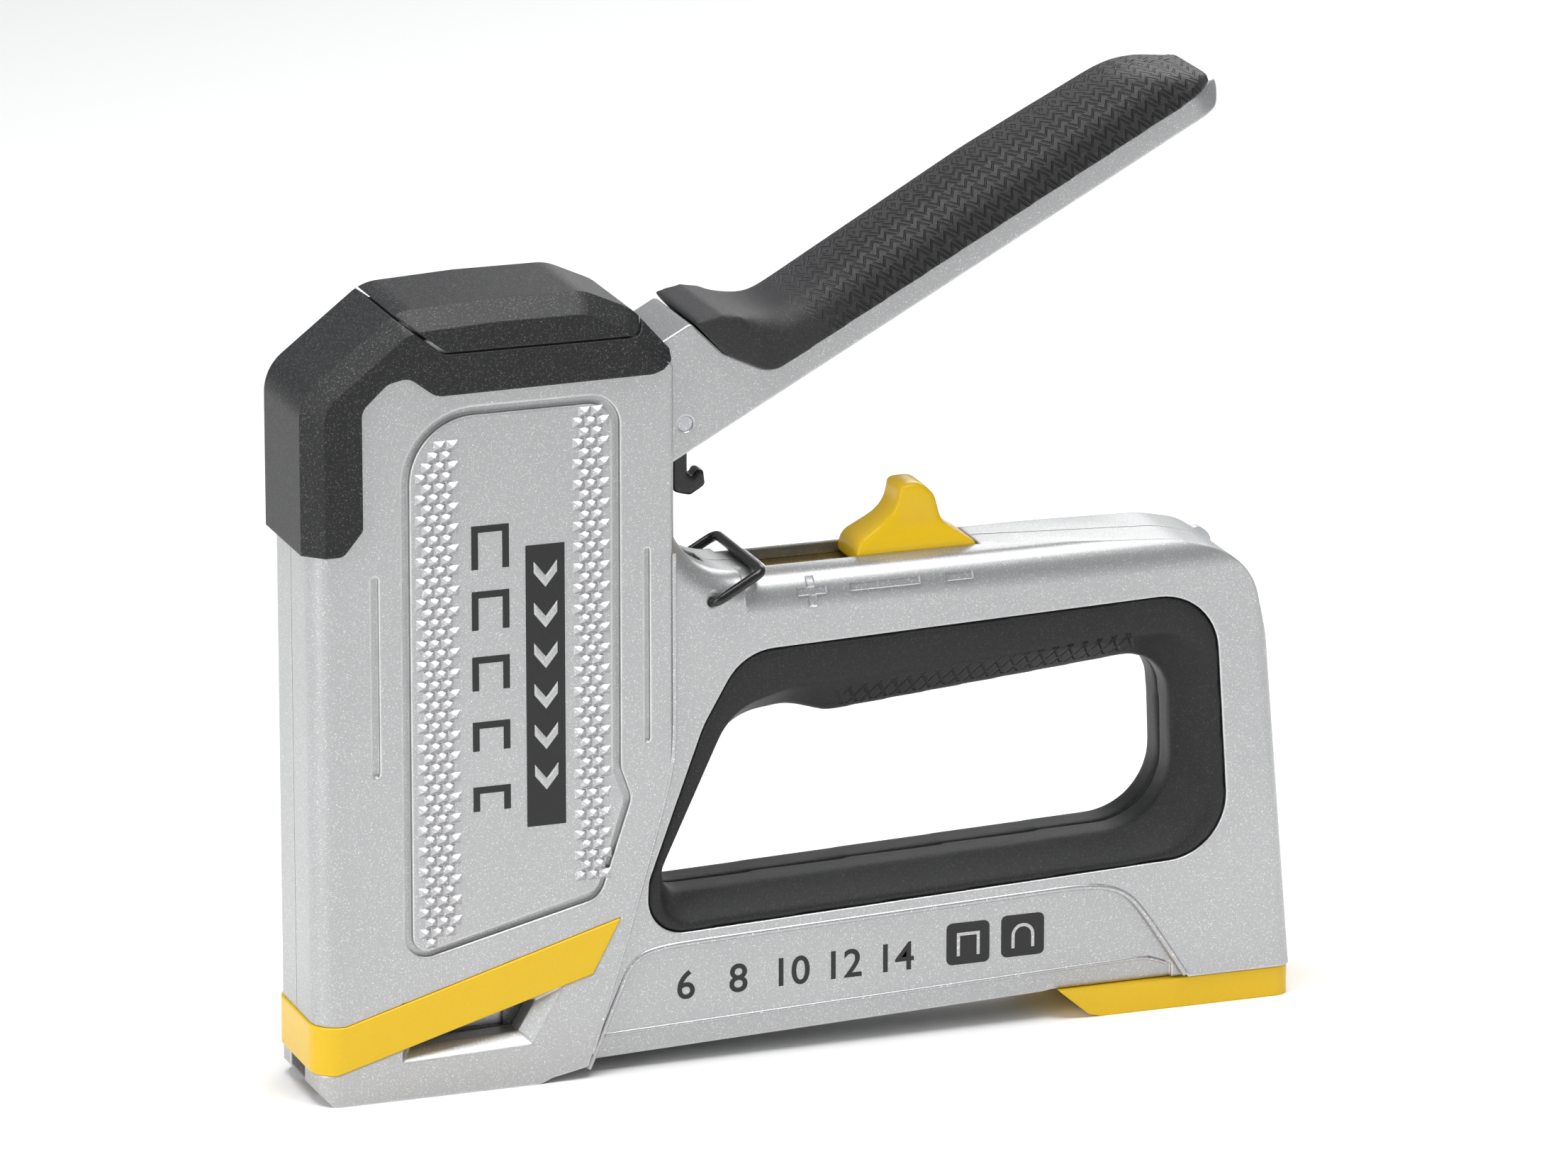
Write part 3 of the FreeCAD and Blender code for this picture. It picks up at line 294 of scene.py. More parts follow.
def bump(tree, surface, height, distance, strength, normal=None):
    """Feeds a height to the shader's normal."""
    node = add(tree, "ShaderNodeBump", Strength=strength, Distance=distance)
    if normal:
        tree.links.new(normal, node.inputs["Normal"])
    tree.links.new(height, node.inputs["Height"])
    tree.links.new(node.outputs["Normal"], surface.inputs["Normal"])


def grained_material(name, colour, speck_colour, metallic, rough_low, rough_high, depth, scale=5000.0,
                     speck_size=4500.0, wear_colour=None, wear=0.6, strength=0.5, drift=0.12,
                     edge_radius=0.0, gloss=0.5):
    """A grained finish with specks, a drift of tone and, where asked, softened and worn edges."""
    material, tree, surface = new_material(name, metallic, rough_low, gloss)
    grain = place_group(tree, GRAIN, Scale=scale, Speck_Size=speck_size)
    darker = tuple(c * (1 - drift) for c in colour)
    tone = mix_colour(tree, grain.outputs["Drift"], darker, colour)
    tone = mix_colour(tree, grain.outputs["Specks"], tone, speck_colour)
    normal = None
    if edge_radius:
        edges = place_group(tree, EDGES, Radius=edge_radius, Spread=wear)
        normal = edges.outputs["Normal"]
        if wear_colour:
            tone = mix_colour(tree, edges.outputs["Mask"], tone, wear_colour)
    tree.links.new(tone, surface.inputs["Base Color"])
    tree.links.new(spread(tree, grain.outputs["Height"], rough_low, rough_high), surface.inputs["Roughness"])
    bump(tree, surface, grain.outputs["Height"], depth, strength, normal)
    return material


GRAIN = make_grain_group()
EDGES = make_edge_group()


def between(tree, value, start, full):
    """Rises smoothly from 0 at start to 1 at full, or falls where full is the lower."""
    node = tree.nodes.new("ShaderNodeMapRange")
    node.interpolation_type = "SMOOTHSTEP"
    if full < start:
        start, full = full, start
        node.inputs["To Min"].default_value = 1.0
        node.inputs["To Max"].default_value = 0.0
    node.inputs["From Min"].default_value = start
    node.inputs["From Max"].default_value = full
    tree.links.new(value, node.inputs["Value"])
    return node.outputs["Result"]


def object_axes(tree, turn=None):
    """Separate X, Y and Z of a place, in a turned frame if a Mapping node is given."""
    place = tree.nodes.new("ShaderNodeTexCoord").outputs["Object"]
    if turn:
        tree.links.new(place, turn.inputs["Vector"])
        place = turn.outputs["Vector"]
    axes = tree.nodes.new("ShaderNodeSeparateXYZ")
    tree.links.new(place, axes.inputs["Vector"])
    return axes.outputs


def cut_rubber(tree, surface, depth, tones, relief):
    """Finishes a rubber that has a pattern of cuts; depth is 1 inside a cut, and there the colour is painted
    near black as shade in the cut.
    """
    grain = place_group(tree, GRAIN, Scale=6000.0, Speck_Size=6000.0)
    tone = mix_colour(tree, grain.outputs["Drift"], tones[0], tones[1])
    tone = mix_colour(tree, grain.outputs["Specks"], tone, tones[2])
    # Painted shade: inside the cuts the colour is mixed towards near black, as though shade lay in them.
    tone = mix_colour(tree, math_node(tree, "MULTIPLY", depth, 0.8), tone, (0.003, 0.003, 0.0035))
    tree.links.new(tone, surface.inputs["Base Color"])
    tree.links.new(spread(tree, grain.outputs["Height"], 0.36, 0.52), surface.inputs["Roughness"])
    height = math_node(tree, "SUBTRACT", math_node(tree, "MULTIPLY", grain.outputs["Height"], 0.12), depth)
    bump(tree, surface, height, relief, 0.9)


def engraved_rubber():
    """Grip rubber, with rows of small roof-shaped and slanting cuts that follow the lever."""
    material, tree, surface = new_material("grip_rubber", 0.0, 0.6, 0.35)
    turn = tree.nodes.new("ShaderNodeMapping")
    turn.vector_type = "TEXTURE"
    turn.inputs["Location"].default_value = PIVOT
    turn.inputs["Rotation"].default_value = (0, -LEVER_SLOPE, 0)
    axes = object_axes(tree, turn)
    along = axes["X"]
    across = math_node(tree, "ABSOLUTE", axes["Y"])
    round_way = math_node(tree, "SUBTRACT", axes["Z"], across)
    pitch = 3.0 * MM
    cell_u = math_node(tree, "FRACT", math_node(tree, "DIVIDE", along, pitch))
    cell_w = math_node(tree, "FRACT", math_node(tree, "DIVIDE", round_way, pitch))
    off_middle = math_node(tree, "ABSOLUTE", math_node(tree, "SUBTRACT", cell_u, 0.36))
    roof = math_node(tree, "ADD", cell_w, math_node(tree, "MULTIPLY", off_middle, 1.9))
    roof = math_node(tree, "ABSOLUTE", math_node(tree, "SUBTRACT", roof, 0.82))
    slant = math_node(tree, "ADD", cell_w, math_node(tree, "MULTIPLY", cell_u, 1.9))
    slant = math_node(tree, "ABSOLUTE", math_node(tree, "SUBTRACT", slant, 2.1))
    cut = between(tree, math_node(tree, "MINIMUM", roof, slant), 0.2, 0.07)
    depth = math_node(tree, "MULTIPLY", cut, between(tree, along, 52 * MM, 72 * MM))
    # Painted highlight: these tones are lighter than the bumper and liner rubber, standing in for the top
    # light on the grip.
    cut_rubber(tree, surface, depth,
               ((0.018, 0.018, 0.019), (0.024, 0.024, 0.0255), (0.07, 0.07, 0.073)), 1.1 * MM)
    return material


def latticed_rubber():
    """Liner rubber, with a strip of small triangles under the top beam where the fingers pull."""
    material, tree, surface = new_material("liner_rubber", 0.0, 0.5, 0.35)
    axes = object_axes(tree)
    along = axes["X"]
    edge = math_node(tree, "MULTIPLY_ADD", along, 0.09, 56.2 * MM)
    above = math_node(tree, "SUBTRACT", axes["Z"], edge)
    pitch = 2.9 * MM
    lean = math_node(tree, "MULTIPLY", above, 0.62)
    lines = []
    for shifted in (math_node(tree, "ADD", along, lean), math_node(tree, "SUBTRACT", along, lean)):
        cell = math_node(tree, "FRACT", math_node(tree, "DIVIDE", shifted, pitch))
        lines.append(math_node(tree, "ABSOLUTE", math_node(tree, "SUBTRACT", cell, 0.5)))
    cut = between(tree, math_node(tree, "MINIMUM", lines[0], lines[1]), 0.15, 0.05)
    for value, start, full in ((along, 97, 101), (along, 158, 154), (above, 0.6, 1.0), (above, 5.4, 4.8)):
        cut = math_node(tree, "MULTIPLY", cut, between(tree, value, start * MM, full * MM))
    cut_rubber(tree, surface, cut,
               ((0.012, 0.0122, 0.013), (0.0145, 0.0147, 0.0155), (0.05, 0.05, 0.052)), 0.9 * MM)
    return material


def add_seam(material):
    """Darkens a hairline where the two halves meet on the mid-plane."""
    tree = material.node_tree
    colour = tree.nodes["Principled BSDF"].inputs["Base Color"]
    across = math_node(tree, "ABSOLUTE", object_axes(tree)["Y"])
    line = between(tree, across, 0.16 * MM, 0.08 * MM)
    tone = mix_colour(tree, line, (1.0, 1.0, 1.0), (0.03, 0.03, 0.03))
    source = colour.links[0].from_socket
    tree.links.new(source, tone.node.inputs[6])
    tree.links.new(tone, colour)
    return material


def make_materials():
    """Every finish of the staple gun, by name."""
    silver = (0.46, 0.462, 0.466)
    cast = dict(colour=silver, speck_colour=(0.8, 0.8, 0.8), metallic=0.75, rough_low=0.3, rough_high=0.4,
                depth=0.04 * MM, speck_size=7000.0, wear_colour=(0.95, 0.95, 0.95), wear=1.6, strength=0.3,
                edge_radius=0.7 * MM)
    return {
        "cast": grained_material("cast_silver", **cast),
        "housing": add_seam(grained_material("housing_silver", **cast)),
        # Painted highlight: a lighter, glossier copy of the casting's silver, so the knurling, beads and
        # raised marks look lit.
        "knurl": grained_material("bright_silver", (0.5, 0.5, 0.51), (0.9, 0.9, 0.9), 0.7, 0.26, 0.38,
                                  0.04 * MM, strength=0.3),
        "yellow": grained_material("yellow_gloss", (0.79, 0.5, 0.008), (0.82, 0.53, 0.015), 0.0, 0.2, 0.3,
                                   0.03 * MM, scale=700.0, strength=0.15, drift=0.04, edge_radius=0.5 * MM,
                                   gloss=0.35),
        "cap": grained_material("cap_black", (0.0145, 0.0148, 0.0155), (0.12, 0.12, 0.125), 0.0, 0.36, 0.52,
                                0.09 * MM, scale=6000.0, speck_size=6000.0, wear_colour=(0.05, 0.05, 0.05),
                                edge_radius=0.5 * MM, gloss=0.3),
        "rubber": grained_material("bumper_rubber", (0.013, 0.0132, 0.014), (0.06, 0.06, 0.062), 0.0, 0.36,
                                   0.5, 0.07 * MM, scale=6000.0, speck_size=6500.0, gloss=0.35),
        "liner": latticed_rubber(),
        "grip": engraved_rubber(),
        "wire": grained_material("black_wire", (0.006, 0.006, 0.0065), (0.03, 0.03, 0.03), 0.0, 0.22, 0.34,
                                 0.03 * MM, scale=1200.0, strength=0.2),
        "zinc": grained_material("zinc_plate", (0.5, 0.51, 0.53), (0.8, 0.8, 0.82), 0.95, 0.28, 0.42,
                                 0.03 * MM, scale=600.0, edge_radius=0.2 * MM),
        "yellow_zinc": grained_material("yellow_passivated", (0.36, 0.26, 0.08), (0.6, 0.5, 0.25), 0.85, 0.35,
                                        0.5, 0.04 * MM, scale=500.0, drift=0.35),
        # Dark steel for the steel parts. On the magazine channel, which is bright zinc, it is painted shade
        # for the dark inside seen through the window.
        "steel": grained_material("dark_steel", (0.12, 0.12, 0.125), (0.3, 0.3, 0.31), 0.9, 0.3, 0.45,
                                  0.03 * MM, scale=900.0),
        "print": grained_material("black_print", (0.004, 0.004, 0.0045), (0.01, 0.01, 0.01), 0.0, 0.3, 0.4,
                                  0.01 * MM),
    }


# ---------------------------------------------------------------- mesh helpers
def finish_piece(name, bm, material, body, sharp=30):
    """Turns a bmesh into a piece that rides on a body."""
    mesh = bpy.data.meshes.new(name)
    bm.to_mesh(mesh)
    bm.free()
    mesh.materials.clear()
    mesh.materials.append(material)
    mesh.polygons.foreach_set("use_smooth", [True] * len(mesh.polygons))
    mesh.set_sharp_from_angle(angle=math.radians(sharp))
    piece = bpy.data.objects.new(name, mesh)
    bpy.context.collection.objects.link(piece)
    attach(piece, body)
    return piece


def merged_copy(node):
    """A bmesh of a CAD node with its loose triangles joined."""
    bm = bmesh.new()
    bm.from_mesh(nodes[node].data)
    bmesh.ops.remove_doubles(bm, verts=bm.verts, dist=2e-6)
    return bm


def rounded_copy(node, material, body, width, segments=2, angle=30):
    """A copy of a CAD piece whose sharp edges are rounded over."""
    bm = merged_copy(node)
    bmesh.ops.dissolve_limit(bm, angle_limit=math.radians(0.6), verts=bm.verts, edges=bm.edges)
    edges = [e for e in bm.edges if e.is_manifold and e.calc_face_angle(0.0) > math.radians(angle)]
    bmesh.ops.bevel(bm, geom=edges, offset=width, affect="EDGES", segments=segments, profile=0.5,
                    material=-1, clamp_overlap=True)
    piece = finish_piece(node + "_shell", bm, material, body, sharp=40)
    even = piece.modifiers.new("flat_faces", "WEIGHTED_NORMAL")
    even.keep_sharp = True
    even.weight = 90
    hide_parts(node)


def soft_copy(node, material, body, voxel, rounds, is_free=None, more_rounds=0):
    """A copy of a CAD piece with its surface evened out, as moulded rubber is; more where it is free."""
    bm = merged_copy(node)
    mesh = bpy.data.meshes.new(node + "_even")
    bm.to_mesh(mesh)
    bm.free()
    holder = bpy.data.objects.new(node + "_even", mesh)
    bpy.context.collection.objects.link(holder)
    remesh = holder.modifiers.new("even", "REMESH")
    remesh.mode = "VOXEL"
    remesh.voxel_size = voxel
    bpy.context.view_layer.update()
    even = bpy.data.meshes.new_from_object(holder.evaluated_get(bpy.context.evaluated_depsgraph_get()))
    bpy.data.objects.remove(holder)
    bm = bmesh.new()
    bm.from_mesh(even)
    bpy.data.meshes.remove(even)
    free = [v for v in bm.verts if is_free and is_free(v.co)]
    for verts, count in ((bm.verts, rounds), (free, more_rounds)):
        for _ in range(count):
            bmesh.ops.smooth_vert(bm, verts=verts, factor=0.5,
                                  use_axis_x=True, use_axis_y=True, use_axis_z=True)
    piece = finish_piece(node + "_skin", bm, material, body, sharp=180)
    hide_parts(node)


def pressed_spring(node, body):
    """A copy of a coil spring, with a mesh of its own."""
    bm = merged_copy(node)
    piece = finish_piece(node + "_coil", bm, MATERIALS["steel"], body, sharp=60)
    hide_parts(node)
    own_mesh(piece)


def above_grip_seat(place):
    """Whether a place is on the open part of the grip, clear of its seat and of its front horn."""
    offset = place - PIVOT
    along = offset.x * math.cos(LEVER_SLOPE) + offset.z * math.sin(LEVER_SLOPE)
    lift = offset.z * math.cos(LEVER_SLOPE) - offset.x * math.sin(LEVER_SLOPE)
    return along > 44 * MM and lift > -10 * MM


def smooth_wire(name, points, radius):
    """A round bar along a smooth curve through control points."""
    curve = bpy.data.curves.new(name, "CURVE")
    curve.dimensions = "3D"
    curve.bevel_depth = radius
    curve.bevel_resolution = 5
    curve.resolution_u = 8
    curve.use_fill_caps = True
    spline = curve.splines.new("NURBS")
    spline.points.add(len(points) - 1)
    for point, place in zip(spline.points, points):
        point.co = (place.x, place.y, place.z, 1)
    spline.order_u = 3
    spline.use_endpoint_u = True
    holder = bpy.data.objects.new(name, curve)
    bpy.context.collection.objects.link(holder)
    bpy.context.view_layer.update()
    mesh = bpy.data.meshes.new_from_object(holder)
    bpy.data.objects.remove(holder)
    bm = bmesh.new()
    bm.from_mesh(mesh)
    bmesh.ops.remove_doubles(bm, verts=bm.verts, dist=1e-6)
    tidy_normals(bm)
    return bm


def cast_beads(side):
    """Rounded edges of the casting: the lower panel's border and ridge, the tower's rear, as beads in the
    lighter silver, which paints a highlight along them.
    """
    name = "left" if side < 0 else "right"
    beads = [
        ("panel_border", HANDLE_SIDE - 0.25 * MM, 0.6,
         [(47.9, 1.6), (48.8, 3.6), (54.4, 17.0), (56.6, 21.6), (60.8, 23.7), (72.0, 24.2), (136.0, 26.1),
          (148.0, 26.4), (155.0, 24.6), (160.0, 18.4), (167.4, 6.6)]),
        ("panel_ridge", HANDLE_SIDE - PANEL_DEPTH - 0.15 * MM, 0.4,
         [(51.6, 7.4), (60.0, 7.7), (154.0, 10.3), (160.4, 10.5), (163.6, 9.0)]),
        ("tower_edge", TOWER_SIDE - 0.35 * MM, 0.45,
         [(48.4, 4.8), (54.2, 23.0), (58.6, 38.0), (64.0, 57.0), (64.8, 64.0), (64.8, 74.0), (64.8, 100.0)]),
    ]
    for label, across, radius, places in beads:
        route = [Vector((x * MM, side * across, z * MM)) for x, z in places]
        bead = smooth_wire(label, route, radius * MM)
        finish_piece(name + "_" + label, bead, MATERIALS["knurl"], "housing")


def wall_shape(bm, points, y_low, y_high):
    """A closed slab with a side-view outline."""
    verts = [bm.verts.new((x, y_low, z)) for x, z in points]
    face = bm.faces.new(verts)
    grown = bmesh.ops.extrude_face_region(bm, geom=[face])
    moved = [v for v in grown["geom"] if isinstance(v, bmesh.types.BMVert)]
    bmesh.ops.translate(bm, verts=moved, vec=(0, y_high - y_low, 0))


def tidy_normals(bm):
    """Turns every face outwards."""
    bmesh.ops.recalc_face_normals(bm, faces=bm.faces)


# ---------------------------------------------------------------- tower panel
def inside_panel(x, z):
    """Whether a place on the tower's side is inside the framed panel, clear of its groove."""
    if not 14.6 < x < 53.2:
        return False
    if z < 29.2 + (x - 18.0) * 0.3:
        return False
    corner_x = 28.0 - x
    if corner_x > 0:
        corner_z = z - (TOWER_TOP / MM - 33.4)
        if corner_z > 0 and math.hypot(corner_x, corner_z) > 13.6:
            return False
    return z < TOWER_TOP / MM - 19.2


def knurl_strips(side):
    """Two upright strips of small four-sided pyramids, laid like bricks."""
    bm = bmesh.new()
    step_x = 2.43
    step_z = 1.98
    relief = 0.72
    turn = Matrix.Rotation(math.radians(-90 * side), 4, "X") @ Matrix.Rotation(math.radians(45), 4, "Z")
    size = Matrix.Diagonal((step_x / math.sqrt(2) * MM, relief * MM, step_z / math.sqrt(2) * MM, 1))
    middle = TOWER_SIDE + relief / 2 * MM - 0.04 * MM
    for first in (16.2, 46.5):
        for row in range(54):
            for column in range(3):
                x = first + step_x * (column + 0.5 * (row % 2)) - 0.3
                z = 28.0 + row * step_z
                if not inside_panel(x - 1.0, z - 0.9) or not inside_panel(x + 1.0, z + 1.2):
                    continue
                if side > 0 and (Vector((x, z)) - UPPER_SCREW).length < SCREW_CLEARANCE:
                    continue
                made = bmesh.ops.create_cone(bm, cap_ends=True, segments=4, radius1=0.98, radius2=0.16,
                                             depth=1.0)
                place = Matrix.Translation((x * MM, side * middle, z * MM))
                bmesh.ops.transform(bm, verts=made["verts"], matrix=place @ size @ turn)
    tidy_normals(bm)
    name = ("left" if side < 0 else "right") + "_knurling"
    finish_piece(name, bm, MATERIALS["knurl"], "housing", sharp=10)


def label_block(side):
    """Black block with chevrons that point to the nose, and a column of staple signs."""
    name = "left" if side < 0 else "right"
    face = TOWER_SIDE
    bm = bmesh.new()
    block = [(35.9, 50.5), (43.4, 50.5), (43.4, 104.5), (35.9, 104.5)]
    wall_shape(bm, [(x * MM, z * MM) for x, z in block], side * face, side * (face + PRINT_RISE))
    for index in range(5):
        staple_sign(bm, 29.1, 54.5 + index * 11.6, 3.6, 3.4 + index * 0.9, 1.25, side, face)
    tidy_normals(bm)
    finish_piece(name + "_label", bm, MATERIALS["print"], "housing")
    bm = bmesh.new()
    for index in range(6):
        z = 58.0 + index * 7.8
        points = [(37.4, z + 2.2), (39.65, z - 0.6), (41.9, z + 2.2), (41.9, z + 4.4), (39.65, z + 1.6),
                  (37.4, z + 4.4)]
        wall_shape(bm, [(x * MM, z0 * MM) for x, z0 in points], side * (face + SIGN_RISE[0]),
                   side * (face + SIGN_RISE[1]))
    tidy_normals(bm)
    finish_piece(name + "_label_chevrons", bm, MATERIALS["cast"], "housing")


def staple_sign(bm, x, z, half, leg, line, side, face):
    """A printed staple outline: crown up, two legs down."""
    points = [
        (x - half, z), (x - half + line, z), (x - half + line, z + leg), (x + half - line, z + leg),
        (x + half - line, z), (x + half, z), (x + half, z + leg + line), (x - half, z + leg + line),
    ]
    wall_shape(bm, [(a * MM, b * MM) for a, b in points], side * face, side * (face + PRINT_RISE))


# ---------------------------------------------------------------- lower panel print
def panel_print(side):
    """Staple leg sizes and the two staple signs on the lower panel."""
    name = "left" if side < 0 else "right"
    face = HANDLE_SIDE - PANEL_DEPTH
    bm = bmesh.new()
    for index, text in enumerate(("6", "8", "10", "12", "14")):
        curve = bpy.data.curves.new("size_number", "FONT")
        curve.body = text
        curve.size = 7.8 * MM
        curve.align_x = "CENTER"
        curve.offset = 0.08 * MM
        curve.extrude = 0.06 * MM
        holder = bpy.data.objects.new("size_number", curve)
        bpy.context.collection.objects.link(holder)
        bpy.context.view_layer.update()
        mesh = bpy.data.meshes.new_from_object(holder)
        bpy.data.objects.remove(holder)
        bpy.data.curves.remove(curve)
        turn = Matrix.Rotation(math.radians(90), 4, "X")
        x = 67.5 + index * 10.4
        place = Matrix.Translation((x * MM, -face, (12.8 + index * 0.18) * MM))
        if side > 0:
            turn = Matrix.Rotation(math.radians(180), 4, "Z") @ turn
            place = Matrix.Translation((x * MM, face, (12.8 + index * 0.18) * MM))
        mesh.transform(place @ turn)
        bm.from_mesh(mesh)
        bpy.data.meshes.remove(mesh)
    squares = []
    for x in (123.7, 134.7):
        z = 17.4 + (x - 123.7) * 0.03
        made = bmesh.ops.create_cube(bm, size=1.0)
        scale = Matrix.Diagonal((8.6 * MM, 0.24 * MM, 8.2 * MM, 1))
        bmesh.ops.transform(bm, verts=made["verts"],
                            matrix=Matrix.Translation((x * MM, side * face, z * MM)) @ scale)
        uprights = [e for v in made["verts"] for e in v.link_edges
                    if abs(e.verts[0].co.y - e.verts[1].co.y) > 0.1 * MM]
        squares.append((x, z))
        bmesh.ops.bevel(bm, geom=list(set(uprights)), offset=1.1 * MM, affect="EDGES", segments=4,
                        profile=0.5, material=-1)
    finish_piece(name + "_panel_print", bm, MATERIALS["print"], "housing")
    bm = bmesh.new()
    for (x, z), is_round in zip(squares, (False, True)):
        printed_staple(bm, x, z, is_round, side, face)
    tidy_normals(bm)
    finish_piece(name + "_staple_signs", bm, MATERIALS["knurl"], "housing")


def printed_staple(bm, x, z, is_round, side, face):
    """A flat or a round crowned staple outline in a square."""
    half = 2.3
    line = 0.62
    foot = z - 2.4
    top = z + 2.2
    if is_round:
        steps = 10
        crown = z + 0.1
        outer = [(x - half * math.cos(math.pi * i / steps), crown + half * math.sin(math.pi * i / steps))
                 for i in range(steps + 1)]
        inner = [(x + (half - line) * math.cos(math.pi * i / steps),
                  crown + (half - line) * math.sin(math.pi * i / steps)) for i in range(steps + 1)]
        points = [(x - half, foot)] + outer + [(x + half, foot), (x + half - line, foot)] + inner
        points += [(x - half + line, foot)]
    else:
        points = [(x - half, foot), (x - half, top), (x + half, top), (x + half, foot),
                  (x + half - line, foot), (x + half - line, top - line), (x - half + line, top - line),
                  (x - half + line, foot)]
    wall_shape(bm, [(a * MM, b * MM) for a, b in points], side * (face + SIGN_RISE[0]),
               side * (face + SIGN_RISE[1]))


# ---------------------------------------------------------------- marks on the handle
def on_shoulder(x, way, lift, side):
    """A place on the rounded shoulder of the handle: way is the distance round from the side face."""
    angle = way / SHOULDER
    centre_y = HANDLE_SIDE - SHOULDER
    centre_z = HANDLE_TOP - SHOULDER
    reach = SHOULDER + lift
    return Vector((x, side * (centre_y + reach * math.cos(angle)), centre_z + reach * math.sin(angle)))


def power_marks(side):
    """Raised plus sign, long bar and short bar beside the power slider."""
    name = "left" if side < 0 else "right"
    bm = bmesh.new()
    middle = 3.4
    arm = 2.9
    half = 0.8
    cross = [(-half, -arm), (half, -arm), (half, -half), (arm, -half), (arm, half), (half, half), (half, arm),
             (-half, arm), (-half, half), (-arm, half), (-arm, -half), (-half, -half)]
    shapes = [[(92.2 + a, middle + b) for a, b in cross]]
    for start, end in ((99.8, 113.6), (118.8, 124.1)):
        shapes.append([(start, middle - half), (end, middle - half), (end, middle + half),
                       (start, middle + half)])
    for shape in shapes:
        verts = [bm.verts.new((x * MM, way * MM, 0)) for x, way in shape]
        face = bm.faces.new(verts)
        grown = bmesh.ops.extrude_face_region(bm, geom=[face])
        top = [f for f in grown["geom"] if isinstance(f, bmesh.types.BMFace)]
        bmesh.ops.translate(bm, verts=list(top[0].verts), vec=(0, 0, 0.4 * MM))
        bmesh.ops.inset_region(bm, faces=top, thickness=0.28 * MM, depth=0.0)
        bmesh.ops.translate(bm, verts=list(top[0].verts), vec=(0, 0, -0.34 * MM))
    for vert in bm.verts:
        vert.co = on_shoulder(vert.co.x, vert.co.y, vert.co.z - 0.02 * MM, side)
    tidy_normals(bm)
    finish_piece(name + "_power_marks", bm, MATERIALS["knurl"], "housing")


# ---------------------------------------------------------------- bail
def bent_bail():
    """The wire bail as one bent wire."""
    high_corner = high("lock_bail")
    wire = 0.95 * MM
    side = high_corner.y - wire
    reach = Vector((high_corner.x - wire, 0, high_corner.z - wire))
    axis = Vector((BAIL_AXIS.x, 0, BAIL_AXIS.z))
    along = (reach - axis).normalized()
    bend = 4.0 * MM
    half = []
    inner = 8.8 * MM
    half += [axis + Vector((0, inner, 0)), axis + Vector((0, side - bend, 0)), axis + Vector((0, side, 0)),
             axis + along * bend + Vector((0, side, 0))]
    half += [reach - along * bend + Vector((0, side, 0)), reach + Vector((0, side, 0)),
             reach + Vector((0, side - bend, 0)), reach + Vector((0, side * 0.5, 0))]
    mirrored = [Vector((p.x, -p.y, p.z)) for p in reversed(half)]
    points = half + mirrored
    bm = smooth_wire("bail_wire", points, wire)
    piece = finish_piece("bent_bail", bm, MATERIALS["wire"], "bail", sharp=60)
    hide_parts("lock_bail")


def bail_boss(side):
    """Raised ring round the hole that an end of the bail turns in."""
    outer_y = high("lock_bail").y - 2.3 * 0.95 * MM
    bm = bmesh.new()
    section = [(1.15, -2.0), (1.15, -0.25), (1.4, 0.0), (2.0, 0.0), (2.5, -0.4), (2.9, -2.0)]
    corners = [bm.verts.new((r * MM, side * (outer_y + y * MM), 0)) for r, y in section]
    edges = [bm.edges.new(pair) for pair in zip(corners, corners[1:] + corners[:1])]
    bmesh.ops.spin(bm, geom=corners + edges, cent=(0, 0, 0), axis=(0, 1, 0), angle=math.tau, steps=32,
                   use_merge=True)
    bmesh.ops.translate(bm, verts=bm.verts, vec=(BAIL_AXIS.x, 0, BAIL_AXIS.z))
    tidy_normals(bm)
    name = ("left" if side < 0 else "right") + "_bail_boss"
    finish_piece(name, bm, MATERIALS["cast"], "housing")


# ---------------------------------------------------------------- put it together
MATERIALS = make_materials()

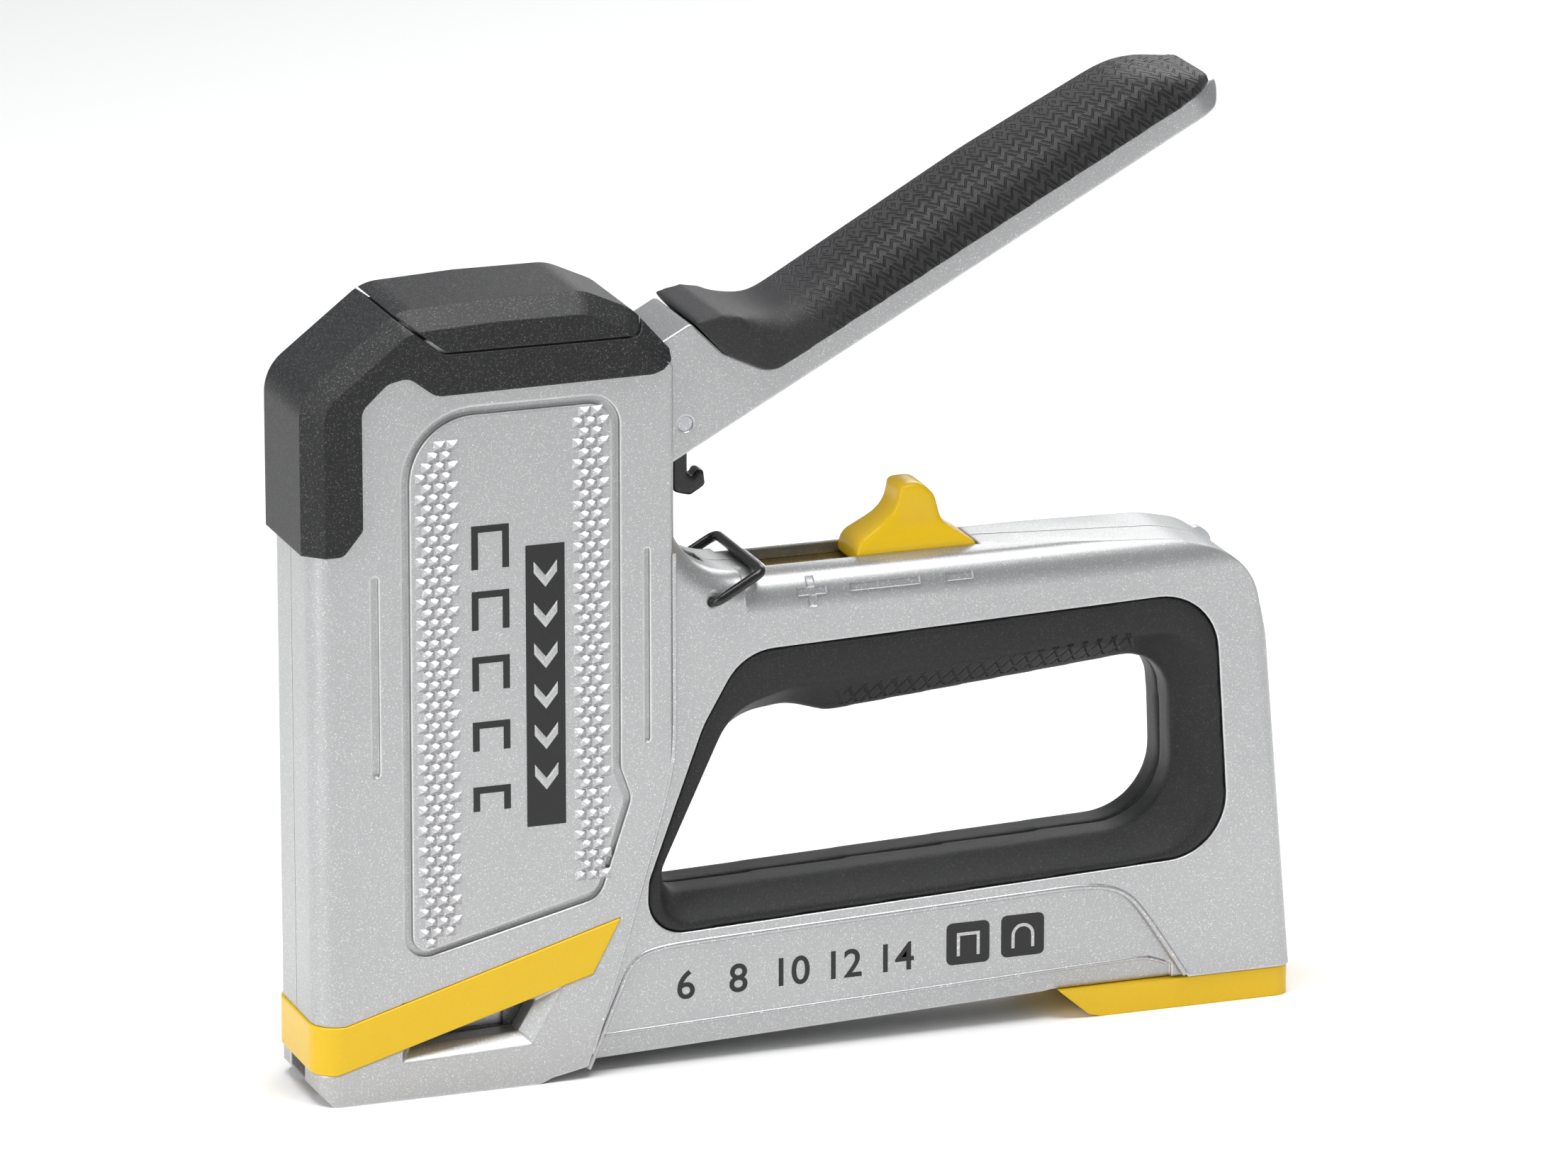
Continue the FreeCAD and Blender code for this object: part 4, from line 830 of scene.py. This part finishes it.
CAD_FINISHES = {
    "housing": ["left_housing", "right_housing"],
    "cast": ["lever"],
    "yellow": ["nose_band", "power_slider", "rear_heel"],
    "cap": ["top_cap", "cap_insert"],
    "rubber": ["striker_bumper"],
    "liner": ["left_grip_liner", "right_grip_liner"],
    "grip": ["lever_grip"],
    "wire": ["lock_bail", "lever_hook"],
    "yellow_zinc": ["power_slide_plate"],
    # magazine_channel takes the dark steel only as painted shade: it darkens the inside seen through the
    # window.
    "steel": ["magazine_channel", "striker", "driver_blade", "main_spring", "return_spring", "pusher_spring",
              "nose_guide_plate", "lever_pivot_pin"],
    "zinc": ["housing_screws", "left_lift_arm", "right_lift_arm", "lift_arm_rivets", "hook_rivet",
             "slider_screws", "blade_rivets", "spring_guide", "staple_strip", "staple_rail", "staple_pusher",
             "pusher_rod", "magazine_carrier", "heel_screws"],
}


def dress_cad_pieces():
    """Gives each CAD node its finish."""
    for finish, members in CAD_FINISHES.items():
        for member in members:
            node = nodes[member]
            node.data.materials.clear()
            node.data.materials.append(MATERIALS[finish])


make_camera()
make_studio()
dress_cad_pieces()
for half in ("left_housing", "right_housing"):
    rounded_copy(half, MATERIALS["housing"], "housing", 0.35 * MM)
rounded_copy("top_cap", MATERIALS["cap"], "housing", 0.3 * MM, 3, 20)
rounded_copy("cap_insert", MATERIALS["cap"], "housing", 0.3 * MM, 3, 20)
rounded_copy("nose_band", MATERIALS["yellow"], "housing", 0.25 * MM)
rounded_copy("rear_heel", MATERIALS["yellow"], "magazine", 0.4 * MM)
soft_copy("power_slider", MATERIALS["yellow"], "power_setting", 0.4 * MM, 16)
soft_copy("lever_hook", MATERIALS["wire"], "lever_arm", 0.3 * MM, 8)
rounded_copy("lever", MATERIALS["cast"], "lever_arm", 0.5 * MM, 3)
soft_copy("lever_grip", MATERIALS["grip"], "lever_arm", 0.6 * MM, 8, above_grip_seat, 90)
for half in ("left_grip_liner", "right_grip_liner"):
    soft_copy(half, MATERIALS["liner"], "housing", 0.6 * MM, 10)
pressed_spring("main_spring", "housing")
pressed_spring("pusher_spring", "magazine")
for side in (-1, 1):
    knurl_strips(side)
    label_block(side)
    panel_print(side)
    power_marks(side)
    cast_beads(side)
    bail_boss(side)
bent_bail()
